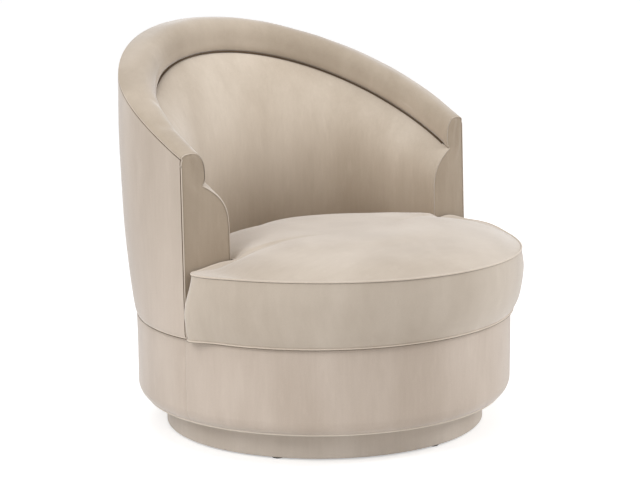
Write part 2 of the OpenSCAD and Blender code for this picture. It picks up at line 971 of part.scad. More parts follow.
module rim_cover() {
    color([0.8, 0.75, 0.69])
        around(function (f) concat(rim_cover_line(f, 0), reversed(rim_cover_line(f, cover_t))),
            cover_t + layer_gap);
}

// Edge of an arm front at an offset inside its surface and a depth behind it
function arm_edge(off, depth) = [for (p = concat(outer_side(1, off), rim_cover_line(1, off),
    inner_cover_line(1, off))) let (q = leaves(arm_point(p[1], depth), panel_dir, [0, p[2]], p[0]))
    [q.x, q.y, p[1]]];

// A slab behind the right arm front, which follows the shell from its front to its back
module arm_slab(off, depth, t) {
    front = arm_edge(off, depth);
    n = len(front);
    sides = [for (j = [0:n - 1]) let (k = (j + 1) % n) each [[j, k, n + k], [j, n + k, n + j]]];
    polyhedron(concat(front, arm_edge(off, depth + t)),
        concat(sides, [[for (j = [n - 1:-1:0]) j], [for (j = [0:n - 1]) n + j]]), convexity = 6);
}

module arm_front_foams() {
    color("ivory")
        for (side = [0, 1]) {
            mirror([side, 0, 0])
                arm_slab(cover_t + 4 * layer_gap, cover_t + layer_gap, arm_foam_t - layer_gap);
        }
}

module arm_panel_right() {
    color([0.72, 0.66, 0.59])
        arm_slab(0, 0, cover_t);
}

module arm_panel_left() {
    color([0.72, 0.66, 0.59])
        mirror([1, 0, 0])
            arm_slab(0, 0, cover_t);
}

// Seat cushion
// Centres of its arcs on the right side, for an outline moved outward by off
rear_c = [0, -pad_shift];
function ear_base(from_line) = arm_point(deck_z, 0) + panel_normal * from_line;
corner_c = leaves(ear_base(ear_gap + cushion_corner_r), panel_dir, [0, 0], cushion_r - cushion_corner_r);
notch_c = leaves(ear_base(ear_gap - cushion_notch_r), panel_dir, rear_c, cushion_rear_r + cushion_notch_r);
corner_angle = atan2(corner_c.y, corner_c.x);
notch_angle = atan2(notch_c.y - rear_c.y, notch_c.x);
function cushion_half(off) = joined([
    arc([0, 0], cushion_r + off, -90, corner_angle, 12),
    arc(corner_c, cushion_corner_r + off, mix(corner_angle, 90 + arm_turn, 0.33), 90 + arm_turn, 2),
    arc(notch_c, cushion_notch_r - off, arm_turn - 90, notch_angle - 180, 3),
    arc(rear_c, cushion_rear_r + off, mix(notch_angle, 90, 0.11), 90, 8)]);
function mirrored(list) = [for (i = [len(list) - 2:-1:1]) [-list[i].x, list[i].y]];
function cushion_outline(off) = let (half = cushion_half(off)) concat(half, mirrored(half));

// The bulge of the boxing, zero at both seams
function bulge(z) = let (t = 2 * (z - seam_low_z) / cushion_side_h - 1) cushion_bulge * (1 - t * t);

// A point of the outline drawn in at the front, by the tuck at the lower seam and nothing at the upper
function tucked(p, z) = let (
    t = clamped((seam_high_z - z) / cushion_side_h),
    w = eased((front_y - p.y) / tuck_reach))
    p * (1 - cushion_tuck * t * w / cushion_r);

// Rings of the crown from its edge to its middle, at a depth below the surface
function crown_z(s) = seam_high_z + crown_h * (1 - pow(s, crown_power));
function crown_ring(s, off) = [for (p = cushion_outline(-welt_r - layer_gap))
    [p.x * s, mix(crown_y, p.y, s), crown_z(s) - off]];
function level_flat(off, z) = [for (p = cushion_outline(off)) tucked(p, z)];
function level_ring(off, z) = [for (p = level_flat(off, z)) [p.x, p.y, z]];

// A closed solid of stacked rings; both ends are closed on a middle point
module ringed(rings, low, high) {
    n = len(rings[0]);
    count = len(rings);
    last = count * n;
    points = concat(joined(rings), [low, high]);
    walls = [for (i = [0:count - 2], j = [0:n - 1]) let (
        a = i * n + j,
        b = i * n + (j + 1) % n)
        each [[a, a + n, b + n], [a, b + n, b]]];
    floor_faces = [for (j = [0:n - 1]) [last, j, (j + 1) % n]];
    top_faces = [for (j = [0:n - 1]) [last + 1, last - n + (j + 1) % n, last - n + j]];
    polyhedron(points, concat(walls, floor_faces, top_faces), convexity = 4);
}

// A band of closed rings, joined from the last to the first
module belted(rings) {
    n = len(rings[0]);
    count = len(rings);
    walls = [for (i = [0:count - 1], j = [0:n - 1]) let (
        a = i * n + j,
        b = i * n + (j + 1) % n,
        c = (i + 1) % count * n + j,
        d = (i + 1) % count * n + (j + 1) % n)
        each [[a, c, d], [a, d, b]]];
    polyhedron(joined(rings), walls, convexity = 6);
}

core_off = -wrap_t - cover_t;
foam_low_z = cushion_z + cover_t + wrap_t;
foam_high_z = seam_high_z - wrap_t / 2;

module cushion_core() {
    translate([0, 0, foam_low_z])
        linear_extrude(foam_high_z - foam_low_z)
            polygon(level_flat(core_off, seam_low_z));
}

module cushion_foam() {
    color("ivory")
        cushion_core();
}

wrap_levels = [0.1, 0.31, 0.69, 0.9];

module cushion_wrap() {
    off = cover_t + 5 * layer_gap;
    low_z = cushion_z + cover_t + layer_gap;
    color("white")
        difference() {
            ringed(concat(
                [level_ring(-2 * welt_r - off, low_z)],
                [for (t = wrap_levels) let (z = mix(seam_low_z, seam_high_z, t))
                    level_ring(bulge(z) - off, z)],
                [level_ring(-2 * welt_r - off, seam_high_z - off)],
                [for (i = [len(crown_steps) - 2:-1:0]) crown_ring(crown_steps[i], off)]),
                [0, crown_y, low_z], [0, crown_y, crown_z(0) - off]);
            cushion_core();
        }
}

module cushion_top_cover() {
    rings = concat([1], reversed(crown_steps));
    color([0.87, 0.84, 0.79])
        difference() {
            ringed(concat([crown_ring(1, cover_t)], [for (s = rings) crown_ring(s, 0)]),
                [0, crown_y, crown_z(1) - cover_t], [0, crown_y, crown_z(0)]);
            ringed(concat([crown_ring(1, 2 * cover_t)], [for (s = rings) crown_ring(s, cover_t)]),
                [0, crown_y, crown_z(1) - 2 * cover_t], [0, crown_y, crown_z(0) - cover_t]);
        }
}

module cushion_boxing() {
    low = seam_low_z + welt_r + layer_gap;
    high = seam_high_z - welt_r - layer_gap;
    levels = [for (t = [0, 0.3, 0.7, 1]) mix(low, high, t)];
    color([0.78, 0.73, 0.67])
        belted(concat(
            [for (z = levels) level_ring(bulge(z), z)],
            [for (z = reversed(levels)) level_ring(bulge(z) - cover_t, z)]));
}

module cushion_bottom_cover() {
    color("darkgray")
        translate([0, 0, cushion_z])
            linear_extrude(cover_t)
                polygon(level_flat(-welt_r - layer_gap, seam_low_z));
}

// The welt along a seam, a six-sided tube that follows the cushion's outline
module welt(z) {
    belted([for (i = [0:5]) level_ring(welt_r * cos(60 * i), z + welt_r * sin(60 * i))]);
}

module cushion_welt_top() {
    color([0.8, 0.75, 0.69])
        welt(seam_high_z);
}

module cushion_welt_bottom() {
    color([0.72, 0.66, 0.59])
        welt(seam_low_z);
}

// An arc of a ring behind the cushion, centred on an angle from +Y
module rear_arc(r_in, r_out, z, h, middle, spread) {
    translate([rear_c.x, rear_c.y, z])
        rotate([0, 0, 90 - middle - spread / 2])
            rotate_extrude(angle = spread)
                translate([r_in, 0])
                    square([r_out - r_in, h]);
}

module cushion_zip() {
    color("dimgray") {
        rear_arc(zip_r, zip_r + tape_t, zip_z - tape_w / 2, tape_w, 0, 2 * zip_angle);
        rear_arc(zip_r + tape_t, zip_r + tape_t + teeth_t, zip_z - teeth_w / 2, teeth_w, 0, 2 * zip_angle);
    }
}

// The slider rests at the closed end of the zip, with its pull tab hanging
module zip_slider() {
    middle = slider_angle - zip_angle;
    back_r = zip_r + tape_t + slider_gap;
    groove_r = back_r + teeth_t + slider_gap;
    color("silver")
        difference() {
            union() {
                rear_arc(back_r, slider_r, zip_z - slider_w / 2, slider_w, middle, slider_angle);
                rear_arc(slider_r - pull_t, slider_r, zip_z - pull_l, pull_l, middle, pull_angle);
            }
            rear_arc(back_r - cut, groove_r, zip_z - teeth_w / 2 - slider_gap, teeth_w + 2 * slider_gap,
                middle, 2 * slider_angle);
        }
}

floor_glides();
glide_nails();
plinth_ring();
plinth_blocks();
plinth_board();
plinth_hoop();
plinth_padding();
plinth_cover();
swivel_lower_plate();
swivel_lower_screws();
bearing_cage();
bearing_balls();
swivel_upper_plate();
swivel_upper_screws();
swivel_rivet();
seat_base_board();
dust_cover();
rail_posts();
rail_screws();
rail_hoop();
seat_ring();
band_foam();
front_edge_foam();
band_cover_front();
band_cover_rear();
seat_webbing_long();
seat_webbing_cross();
deck_felt();
deck_foam();
deck_cloth();
back_posts_lower();
mid_rib();
back_posts_upper();
top_rib();
arm_front_boards();
post_screws();
back_webbing();
back_hessian();
back_foam();
inner_back_cover();
outer_back_panel();
outer_wadding();
outer_back_cover();
rim_foam();
rim_cover();
arm_front_foams();
arm_panel_left();
arm_panel_right();
cushion_foam();
cushion_wrap();
cushion_top_cover();
cushion_boxing();
cushion_bottom_cover();
cushion_welt_top();
cushion_welt_bottom();
cushion_zip();
zip_slider();
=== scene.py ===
import json
import math

import bmesh
import bpy
import numpy as np
from mathutils import Matrix, Vector


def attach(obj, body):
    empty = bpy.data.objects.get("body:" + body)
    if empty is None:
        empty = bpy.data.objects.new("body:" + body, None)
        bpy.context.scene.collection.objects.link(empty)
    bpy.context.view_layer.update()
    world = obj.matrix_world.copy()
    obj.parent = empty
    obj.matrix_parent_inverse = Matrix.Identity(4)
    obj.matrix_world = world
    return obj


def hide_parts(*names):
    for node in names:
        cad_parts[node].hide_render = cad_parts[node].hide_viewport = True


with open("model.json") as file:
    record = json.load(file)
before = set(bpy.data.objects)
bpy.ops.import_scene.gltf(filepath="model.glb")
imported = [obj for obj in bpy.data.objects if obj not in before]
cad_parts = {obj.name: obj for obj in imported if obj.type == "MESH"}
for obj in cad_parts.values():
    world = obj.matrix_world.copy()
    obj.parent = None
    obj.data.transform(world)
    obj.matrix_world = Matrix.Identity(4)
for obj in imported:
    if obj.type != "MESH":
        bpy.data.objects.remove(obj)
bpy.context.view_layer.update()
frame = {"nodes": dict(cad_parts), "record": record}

MM, WELD = 0.001, 0.00002

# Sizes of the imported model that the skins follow, in millimetres and degrees
BAND_R, BAND_ROUND, BAND_SEAM_IN, BAND_HEM_R = 400.0, 35.0, 18.0, 352.0
PLINTH_R, PLINTH_LOW, PLINTH_TOP, PLINTH_CORE_R, PLINTH_HEM_R = 342.0, 3.5, 55.0, 336.6, 310.0
BASE_Z, DECK_Z, SHELL_Z, CUSHION_Z, FELT_Z = 63.0, 243.0, 244.0, 243.3, 228.2
DUST_IN_R, DUST_OUT_R = 156.5, 350.5
DECK_R, FRAME_R, HESSIAN_R = 346.5, 391.5, 355.5
ARM_R, ARM_TAPER, ARM_LEAN, ARM_TURN, FRONT_Y = 410.0, 0.01, 0.02, 7.0, -33.0
REAR_FLARE, FLARE_H, RIDGE_H, RIM_SLOPE, RIDGE_R = 27.0, 400.0, 635.0, 0.54, 383.0
RIM_IN_R, RIM_SIDE, CREASE_R = 349.0, 48.0, 353.4
SEAM_DROPS, CREASE_DROPS = (12.0, 4.0), (67.0, 75.0)
PAD_R, PAD_SHIFT, PAD_Z = 294.0, 23.0, 430.0
RIB_SHIFT, RIB_DROP, RIB_LOW_Z = 14.0, 30.0, 255.0
CUSHION_R, CUSHION_TUCK, CORNER_R, NOTCH_R = 428.0, 23.0, 20.0, 12.0
BULGE, EAR_GAP, REAR_R, CROWN_H, CROWN_Y = 3.5, 4.8, 286.2, 43.0, -150.0
SEAM_LOW, SEAM_HIGH, WELT_R = 245.6, 381.6, 2.0
FOAM_DEPTH = 11.8

BOARD_R, BACKING_R = FRAME_R + 4.8, HESSIAN_R - 0.4
HALF_ANGLE = 90 - math.degrees(math.atan2(FRONT_Y, ARM_R))
TURN = math.radians(ARM_TURN)
PANEL_DIR = np.array([math.cos(TURN), math.sin(TURN)])
PANEL_NORMAL = np.array([math.sin(TURN), -math.cos(TURN)])
PANEL_OUT = np.array([*PANEL_NORMAL, 0])
MIRROR = {"left": np.array([-1, 1, 1]), "right": np.array([1, 1, 1])}

# Half the shell's length round, how far the lip of cloth reaches back from an arm front, and its thickness
EDGE_LENGTH, LIP_REACH, LIP = 660.0, 12.0, 1.6
# Stations where the crease sags behind the left arm, and where the left arm's roll steps in to its front
LEFT_SAG, LEFT_STEP = -0.42, -0.74
# Dents in the arm tops: depth, station and its spread, angle over the roll and its spread
RIM_DENTS = ((3.0, 0.80, 0.022, 150, 28), (2.4, 0.72, 0.018, 140, 22),
             (2.6, -0.72, 0.022, 128, 25), (2.0, -0.86, 0.016, 100, 30))
# Folds down the inner back: depth, station, spread, lean with height and the height they lean about
BACK_FOLDS = ((0.9, -0.56, 0.018, 0.0006, 600), (0.7, -0.47, 0.015, 0.0008, 600),
              (0.6, 0.70, 0.02, -0.0007, 560))
# Rounding of an arm front: how far in from its outside, in from its inside and behind its face
PANEL_EDGE = ((2.6, 2.4, FOAM_DEPTH - 0.6), (2.4, 2.2, 6.0), (2.0, 2.4, 1.9), (2.1, 3.6, 0.9),
              (2.7, 5.0, 0.3), (3.6, 6.8, 0.0))
PANEL_ROWS, PANEL_COLUMNS = 76, 19
# The crown's middle, the angles over which its reach passes from front arc to rear arc, and its fullness
MIDDLE_Y, TURN_FROM, TURN_OVER, CROWN_POWER = -110.0, 74.0, 44.0, 4.4
UNDER_SHARES = np.linspace(0.1, 0.97, 14)
BOXING_SHARES = np.concatenate([[0.02, 0.05], np.linspace(0.1, 0.9, 13), [0.95, 0.98]])
CROWN_SHARES = np.concatenate([[1.0, 0.992, 0.98, 0.965], np.linspace(0.945, 0.1, 26)])
CLOTH_FRAMES = 20
LOW_SEAM_ROW = len(UNDER_SHARES) + 1
HIGH_SEAM_ROW = LOW_SEAM_ROW + len(BOXING_SHARES) + 1


# Numbers over arrays
def mix(a, b, t):
    """The value a share t of the way from a to b."""
    return a + (b - a) * t


def eased(t):
    """Three t squared less two t cubed, with t held between nought and one."""
    t = np.clip(t, 0, 1)
    return t * t * (3 - 2 * t)


def sin_deg(a):
    return np.sin(np.radians(a))


def cos_deg(a):
    return np.cos(np.radians(a))


def hump(x, centre, width):
    """A bell of height one round centre, which falls off over width."""
    return np.exp(-(((x - centre) / width) ** 2))


def arc(centre, r, first, last, count):
    """Points on a circle of radius r round centre, from a first angle to a last one."""
    a = np.radians(np.linspace(first, last, count))
    return centre + r * np.stack([np.cos(a), np.sin(a)], -1)


def circle(count):
    """Even angles round a whole turn, as a column."""
    return np.radians(np.linspace(0, 360, count, endpoint=False))[:, None]


def on_ring(r, turn, z):
    """Points at radius r and height z, turned from the front round the chair's axis."""
    return np.stack([r * np.sin(turn), -r * np.cos(turn), z + 0 * r * turn], -1)


# The chair's curved surfaces, as functions of the station f from -1 to 1 round the back
def rise(f):
    return cos_deg(f * HALF_ANGLE)


def ridge_z(f):
    return RIDGE_H + RIM_SLOPE * RIDGE_R * rise(f)


def seam_z(f):
    return ridge_z(f) - mix(*SEAM_DROPS, np.maximum(0, rise(f)))


def crease_z(f):
    return ridge_z(f) - mix(*CREASE_DROPS, np.maximum(0, rise(f)))


def outer_r(f, z):
    """The side radius tapers with height, the rear one swells by a sine to the power 0.7, and they blend."""
    side = ARM_R - ARM_TAPER * (z - DECK_Z)
    turn = np.clip(90 * (z - DECK_Z) / FLARE_H, 0, 180)
    rear = BAND_R + REAR_FLARE * sin_deg(turn) ** 0.7
    return mix(side, rear, eased((1 - np.abs(f)) / 0.43))


def front_meet(r, z, centre, depth):
    """Where a circle of radius r round (0, centre) meets the plane a depth behind the right arm's front."""
    back = depth + ARM_LEAN * (z - DECK_Z)
    px = ARM_R - PANEL_NORMAL[0] * back
    py = FRONT_Y - PANEL_NORMAL[1] * back - centre
    ahead = px * PANEL_DIR[0] + py * PANEL_DIR[1]
    step = np.sqrt(ahead**2 - px**2 - py**2 + r**2) - ahead
    return px + step * PANEL_DIR[0], py + step * PANEL_DIR[1] + centre


def set_out(f, r, z, centre, end):
    """Points at radius r and height z round (0, centre), turned by f times end's angle at the arm front."""
    x, y = front_meet(*end, 0.0)
    angle = f * np.arctan2(x, y - end[2])
    return np.stack([r * np.sin(angle), centre + r * np.cos(angle), z + 0 * angle], -1)


def joined(f, *lines):
    """Several lines, each as set_out's last four values, one after another at the stations f."""
    return np.concatenate([set_out(f, *line) for line in lines], 1)


def outer_line(f, v, off):
    """The outside of the shell from its turned-in foot up to the rim's seam, where it dips in."""
    z = mix(SHELL_Z, seam_z(f), v)
    foot = np.clip(1 - (z - SHELL_Z) / 16, 0, 1) ** 3
    dip = 2.4 * np.clip(1 - (seam_z(f) - z) / 6, 0, 1) ** 1.6
    r = outer_r(f, z) - 3.6 * foot - dip - off
    return r, z, 0.0


def cap_line(f, a, off):
    """The roll over the rim: a rounded arch from the outer seam at angle 0 to its inner side at 180."""
    r_out = outer_r(f, seam_z(f)) - off
    w = r_out - RIM_IN_R - off
    side = np.abs(cos_deg(a)) ** 0.8
    drop = 1 - np.maximum(sin_deg(a), 0) ** 0.8
    outside = a <= 90
    r = r_out - w * np.where(outside, 0.42 * (1 - side), 0.42 + 0.58 * side)
    seam_drop = ridge_z(f) - seam_z(f)
    z = ridge_z(f) - off * sin_deg(a) - drop * np.where(outside, seam_drop, RIM_SIDE)
    return r, z, 0.0


def tuck_line(f, t, off):
    """The rim's inner side, which runs on down and then turns in to the crease."""
    r = mix(RIM_IN_R, CREASE_R + 1, t**3.2) + off
    z = mix(ridge_z(f) - RIM_SIDE, crease_z(f) + 1.2, t)
    return r, z, 0.0


def pad_line(f, t, off):
    """The inner back: a full curve from the crease to where the back is fullest."""
    blend = (1 - sin_deg(90 * t)) ** 2.3
    r = mix(PAD_R, CREASE_R + 1, blend) + off
    z = mix(crease_z(f) - 1.2, PAD_Z, t)
    return r, z, PAD_SHIFT * (blend - 1)


# Meshes
def shown(name, data):
    """A new object of the scene, at the origin."""
    made = bpy.data.objects.new(name, data)
    bpy.context.scene.collection.objects.link(made)
    return made


def meshed(name, points, faces):
    """A smooth mesh object from points in millimetres and faces as arrays of index rows."""
    mesh = bpy.data.meshes.new(name)
    rows = [row for part in faces for row in part.tolist()]
    mesh.from_pydata((points.reshape(-1, 3) * MM).tolist(), [], rows)
    mesh.update()
    mesh.polygons.foreach_set("use_smooth", np.full(len(mesh.polygons), True))
    return shown(name, mesh)


def places(mesh):
    """A mesh's points in metres, as rows."""
    spots = np.zeros(len(mesh.vertices) * 3)
    mesh.vertices.foreach_get("co", spots)
    return spots.reshape(-1, 3)


def turned_out(piece):
    """Turns a closed piece's faces outward, if its signed volume is negative."""
    mesh = piece.data
    mesh.calc_loop_triangles()
    corners = np.zeros(len(mesh.loop_triangles) * 3, int)
    mesh.loop_triangles.foreach_get("vertices", corners)
    a, b, c = places(mesh)[corners.reshape(-1, 3)].transpose(1, 0, 2)
    if (a * np.cross(b, c)).sum() < 0:
        mesh.flip_normals()
    return piece


def welded(piece):
    """Merges points that lie on each other and turns the faces outward."""
    build = bmesh.new()
    build.from_mesh(piece.data)
    bmesh.ops.remove_doubles(build, verts=build.verts, dist=WELD)
    bmesh.ops.dissolve_degenerate(build, edges=build.edges, dist=WELD)
    bmesh.ops.recalc_face_normals(build, faces=build.faces)
    build.to_mesh(piece.data)
    build.free()
    return turned_out(piece)


def grid_faces(rows, columns, wrap_rows=False, wrap_columns=False, start=0):
    """Quads between the points of a grid, with either direction closed on itself."""
    i = np.arange(rows if wrap_rows else rows - 1)[:, None]
    j = np.arange(columns if wrap_columns else columns - 1)[None, :]
    k, m = (i + 1) % rows, (j + 1) % columns
    quads = [i * columns + j, k * columns + j, k * columns + m, i * columns + m]
    return start + np.stack([q + 0 * (i + j) for q in quads], -1).reshape(-1, 4)


def fan(ring, pole):
    """Triangles from a pole to each two neighbours on a ring of indices."""
    return np.stack([0 * ring + pole, ring, np.roll(ring, -1)], -1)


def swept(name, loops, closed=False):
    """A solid through a row of closed sections, with both ends filled unless the sweep closes on itself."""
    rows, columns = loops.shape[:2]
    faces = [grid_faces(rows, columns, wrap_rows=closed, wrap_columns=True)]
    if not closed:
        j = np.arange(columns // 2 - 1)
        strip = np.stack([j, j + 1, columns - 2 - j, columns - 1 - j], -1)
        faces += [strip, (strip + (rows - 1) * columns)[:, ::-1]]
    return turned_out(meshed(name, loops, faces))


def slab(name, face, back, closed=False):
    """A solid between a face and a back that has a point for each point of the face."""
    return swept(name, np.concatenate([face, back[:, ::-1]], 1), closed)


def lens(name, low, high, poles):
    """A closed piece between a lower and an upper grid of rings, with a pole in the middle of each."""
    rows, columns = low.shape[:2]
    size = rows * columns
    ring = np.arange(columns)
    edge = size - columns + ring
    wall = [edge, np.roll(edge, -1), np.roll(edge, -1) + size, edge + size]
    faces = [grid_faces(rows, columns, wrap_columns=True), fan(ring, 2 * size),
             grid_faces(rows, columns, wrap_columns=True, start=size)[:, ::-1],
             fan(ring + size, 2 * size + 1)[:, ::-1], np.stack(wall, -1)[:, ::-1]]
    return turned_out(meshed(name, np.concatenate([low.reshape(-1, 3), high.reshape(-1, 3), poles]), faces))


def tube(name, path, radius, closed=False, sides=10):
    """A round cord of the given radius along a path of points, carried without twist round the vertical."""
    ahead = np.roll(path, -1, 0) - np.roll(path, 1, 0)
    if not closed:
        ahead[0], ahead[-1] = path[1] - path[0], path[-1] - path[-2]
    ahead /= np.linalg.norm(ahead, axis=1, keepdims=True)
    side = np.cross(ahead, [0.03, 0.02, 1.0])
    side /= np.linalg.norm(side, axis=1, keepdims=True)
    up = np.cross(side, ahead)
    turn = circle(sides)[None]
    rings = path[:, None] + radius * (np.cos(turn) * side[:, None] + np.sin(turn) * up[:, None])
    return swept(name, rings, closed)


# Upholstery of the shell
def stations(count, edge):
    """Evenly spaced stations, with more over the last few millimetres at both arm fronts."""
    near = [0.6, 1.0, 1.6, 2.4, 3.6, 5.2, 8.0, LIP_REACH - 0.5, LIP_REACH + 0.2, 16.0, edge + 16]
    near = 1 - np.array(near) / EDGE_LENGTH
    middle = np.linspace(-near[-1], near[-1], count)
    return np.concatenate([-near[:-1], middle, near[-2::-1]])[:, None]


def edge_off(f, radius):
    """How far a rounded edge lies inside the flat surface, by its distance from the arm front."""
    s = EDGE_LENGTH * (1 - np.abs(f))
    return radius - np.sqrt(np.maximum(radius**2 - np.maximum(radius - s, 0) ** 2, 0))


def lipped(f, surface, core):
    """Near the arm fronts the solid is only a lip of cloth over the front's padding."""
    return np.where((EDGE_LENGTH * (1 - np.abs(f)) < LIP_REACH)[..., None], surface, core)


def wavy(f, z, size):
    """Slow unevenness of padding under cloth, a sum of three sines of the station and the height."""
    return size * (np.sin(9.1 * f + 0.013 * z + 1) + 0.7 * np.sin(17.3 * f - 0.021 * z)
                   + 0.5 * np.sin(5.2 * f + 0.034 * z + 2)) / 2.2


def shell_side(f):
    """How much of the unevenness shows: none at the arm fronts, where cloth is drawn tight."""
    return eased((1 - np.abs(f)) / 0.06)


def outer_back():
    """The shell's outside: wadding and cloth from the foot to the rim's seam, from arm front to arm front."""
    f = stations(190, 4)
    v = [np.linspace(0, 0.06, 9), np.linspace(0.08, 0.94, 44), np.linspace(0.955, 1, 10)]
    v = np.concatenate(v)[None, :]
    r, z, c = outer_line(f, v, edge_off(f, 4.5))
    r = r + wavy(f, z, 0.9) * shell_side(f) * eased(v / 0.1) * eased((1 - v) / 0.1)
    share = np.clip((z - RIB_LOW_Z) / (ridge_z(f) - RIB_DROP - RIB_LOW_Z), 0, 1)
    core = np.minimum(BOARD_R + RIB_SHIFT * share * rise(f), r - 1.0)
    face, lip, inner = (set_out(f, at, z, c, outer_line(1.0, v, 0.0)) for at in (r, r - LIP, core))
    return slab("outer_back", face, lipped(f, lip, inner))


def rim_roll():
    """The padded roll along the top of arms and back, from its outer seam over the ridge to the crease."""
    f = stations(230, 4)
    a = np.concatenate([np.linspace(0, 30, 12), np.linspace(34, 180, 40)])[None, :]
    t = np.linspace(0.06, 1, 18)[None, :]

    def lines(extra):
        off = edge_off(f, 4.0) + extra
        return [(*line(f, at, off), line(1.0, at, 0.0)) for line, at in ((cap_line, a), (tuck_line, t))]

    (r1, z1, c1, e1), (r2, z2, c2, e2) = lines(0.0)
    seam = np.clip(1 - a / 20, 0, 1) ** 1.6
    dents = sum(depth * hump(f, at, wide) * hump(a, over, long) for depth, at, wide, over, long in RIM_DENTS)
    soft = (wavy(2.3 * f, 2 * a, 0.7) * (1 - seam) - dents) * shell_side(f)
    r1 = r1 - 2.2 * seam + soft * cos_deg(a)
    z1 = z1 + soft * sin_deg(a)
    overhang = 0.8 + 5.5 * hump(f, LEFT_SAG, 0.17) + 4.5 * hump(f, LEFT_STEP, 0.17)
    r2 = r2 - (wavy(2.3 * f, 360.0, 0.7) + overhang * 2.6 * t**1.5) * (1 - t) * shell_side(f)
    saddle_r = mix(BOARD_R + RIB_SHIFT * rise(f), BACKING_R, np.clip(a / 150, 0, 1))
    slope_z = RIDGE_H - RIB_DROP + 2.2 + RIM_SLOPE * saddle_r * rise(f)
    saddle_z = mix(slope_z, ridge_z(f) - RIM_SIDE, np.clip((a - 150) / 30, 0, 1))
    core = joined(f, (saddle_r, np.minimum(saddle_z, z1 - 1.0), 0.0, e1),
                  (np.maximum(BACKING_R, r2 + 1.0), z2, c2, e2))
    face = joined(f, (r1, z1, c1, e1), (r2, z2, c2, e2))
    return slab("rim_roll", face, lipped(f, joined(f, *lines(LIP)), core))


def inner_back():
    """The padded inside of back and arms, from the crease to the seat deck, rounded over the arm fronts."""
    f = stations(210, 8)
    t = np.concatenate([[0.0, 0.004, 0.01, 0.02, 0.035, 0.055, 0.08], np.linspace(0.11, 1, 34)])[None, :]
    off, side = edge_off(f, 7.0), shell_side(f)
    r1, z1, c1 = pad_line(f, t, off)
    end1 = pad_line(1.0, t, 0.0)
    below = crease_z(f) - z1
    gape = 0.8 + 8.0 * hump(f, LEFT_SAG, 0.15) + 3.0 * hump(f, LEFT_STEP + 0.02, 0.15)
    puff = 4.0 * (1 - 0.85 * hump(f, LEFT_STEP, 0.22)) * (1 - np.exp(-below / 7)) * np.exp(-below / 55)
    folds = sum(depth * hump(f + lean * (z1 - level), at, wide)
                for depth, at, wide, lean, level in BACK_FOLDS)
    r1 = r1 - puff * side + folds * hump(below, 45, 45) - wavy(1.4 * f, z1, 1.2) * side * eased(below / 60)
    z1 = z1 - gape * np.exp(-below / 13)
    z2 = mix(PAD_Z, CUSHION_Z, np.linspace(0.05, 1, 16)[None, :])
    r2 = PAD_R + off - wavy(1.4 * f, z2, 1.2) * side * eased((z2 - 385) / 30)
    end2 = (PAD_R, z2, -PAD_SHIFT)
    face, lip = (joined(f, (r1 + more, z1, c1, end1), (r2 + more, z2, -PAD_SHIFT, end2))
                 for more in (0.0, LIP))
    core = joined(f, (np.maximum(BACKING_R, r1 + 0.8), z1, 0.0, (BACKING_R, end1[1], 0.0)),
                  (BACKING_R, z2, 0.0, (BACKING_R, z2, 0.0)))
    return slab("inner_back", face, lipped(f, lip, core))


def along(path, count):
    """A path's points set out afresh at equal lengths."""
    lengths = np.concatenate([[0], np.cumsum(np.linalg.norm(np.diff(path, axis=0), axis=1))])
    at = np.linspace(0, lengths[-1], count)
    return np.stack([np.interp(at, lengths, path[:, k]) for k in range(3)], -1)


def arm_edge(off_out, off_in, depth):
    """The edge of the right arm's front behind its face, as matched rows up its outside and its inside."""
    v = np.linspace(0, 1, 90)
    a = np.concatenate([[4, 8, 12], np.linspace(16, 180, 56)])
    t = np.linspace(0.1, 1, 9)
    p = np.concatenate([[0.01, 0.03, 0.06], np.linspace(0.1, 1, 26)])
    down = np.linspace(0.06, 1, 18)
    cap_off = mix(off_out, off_in, np.clip((a - 110) / 70, 0, 1))
    runs = [outer_line(1.0, v, off_out), cap_line(1.0, a, cap_off), tuck_line(1.0, t, off_in),
            pad_line(1.0, p, off_in),
            (PAD_R + off_in + 0 * down, mix(PAD_Z, SHELL_Z, down), -PAD_SHIFT)]
    r, z, c = (np.concatenate([np.broadcast_to(part[k], part[0].shape) for part in runs]) for k in range(3))
    x, y = front_meet(r, z, c, depth)
    edge = np.stack([x, y, z], -1)
    top = len(v) + int(np.argmin(np.abs(a - 92)))
    return along(edge[:top + 1], PANEL_ROWS), along(edge[:top - 1:-1], PANEL_ROWS)


def arm_front(side):
    """An arm front: padding under cloth, rounded at its edges and domed a little between them."""
    u = np.linspace(0, 1, PANEL_COLUMNS)
    loops = []
    for offs in PANEL_EDGE:
        out, inside = arm_edge(*offs)
        loops.append(np.concatenate([out, inside[-2::-1], mix(inside[:1], out[:1], u[1:-1, None])]))
    across = u[None, :, None]
    face = mix(out[:, None], inside[:, None], across)
    width = np.linalg.norm(out - inside, axis=1)[:, None, None]
    height = face[..., 2:]
    full = 1 - np.abs(2 * across - 1) ** 3
    top = eased(width / 45) * eased((height - SHELL_Z) / 30)
    pucker = (1.1 * hump(height, 566 + 26 * across, 5) + 0.8 * hump(height, 548 + 10 * across, 6)) * across**3
    middle = 4 * across * (1 - across)
    crumple = 0.9 * np.sin(0.055 * height + 9 * across) * eased((height - 480) / 60) * middle
    lift = (2.0 * top + 0.5 * np.sin(0.023 * height + 2)) * full + (crumple - pucker * 1.6) * np.sqrt(full)
    face = face + PANEL_OUT * lift * full
    deepest = loops[0]
    back = np.stack([deepest[:PANEL_ROWS], deepest[PANEL_ROWS - 1:2 * PANEL_ROWS - 1][::-1]], 1)
    size = len(loops) * len(deepest)
    faces = [grid_faces(len(loops), len(deepest), wrap_columns=True),
             grid_faces(PANEL_ROWS, PANEL_COLUMNS, start=size),
             grid_faces(PANEL_ROWS, 2, start=size + PANEL_ROWS * PANEL_COLUMNS)]
    points = np.concatenate([part.reshape(-1, 3) for part in (np.stack(loops), face, back)])
    return welded(meshed(f"arm_front_{side}", points * MIRROR[side], faces))


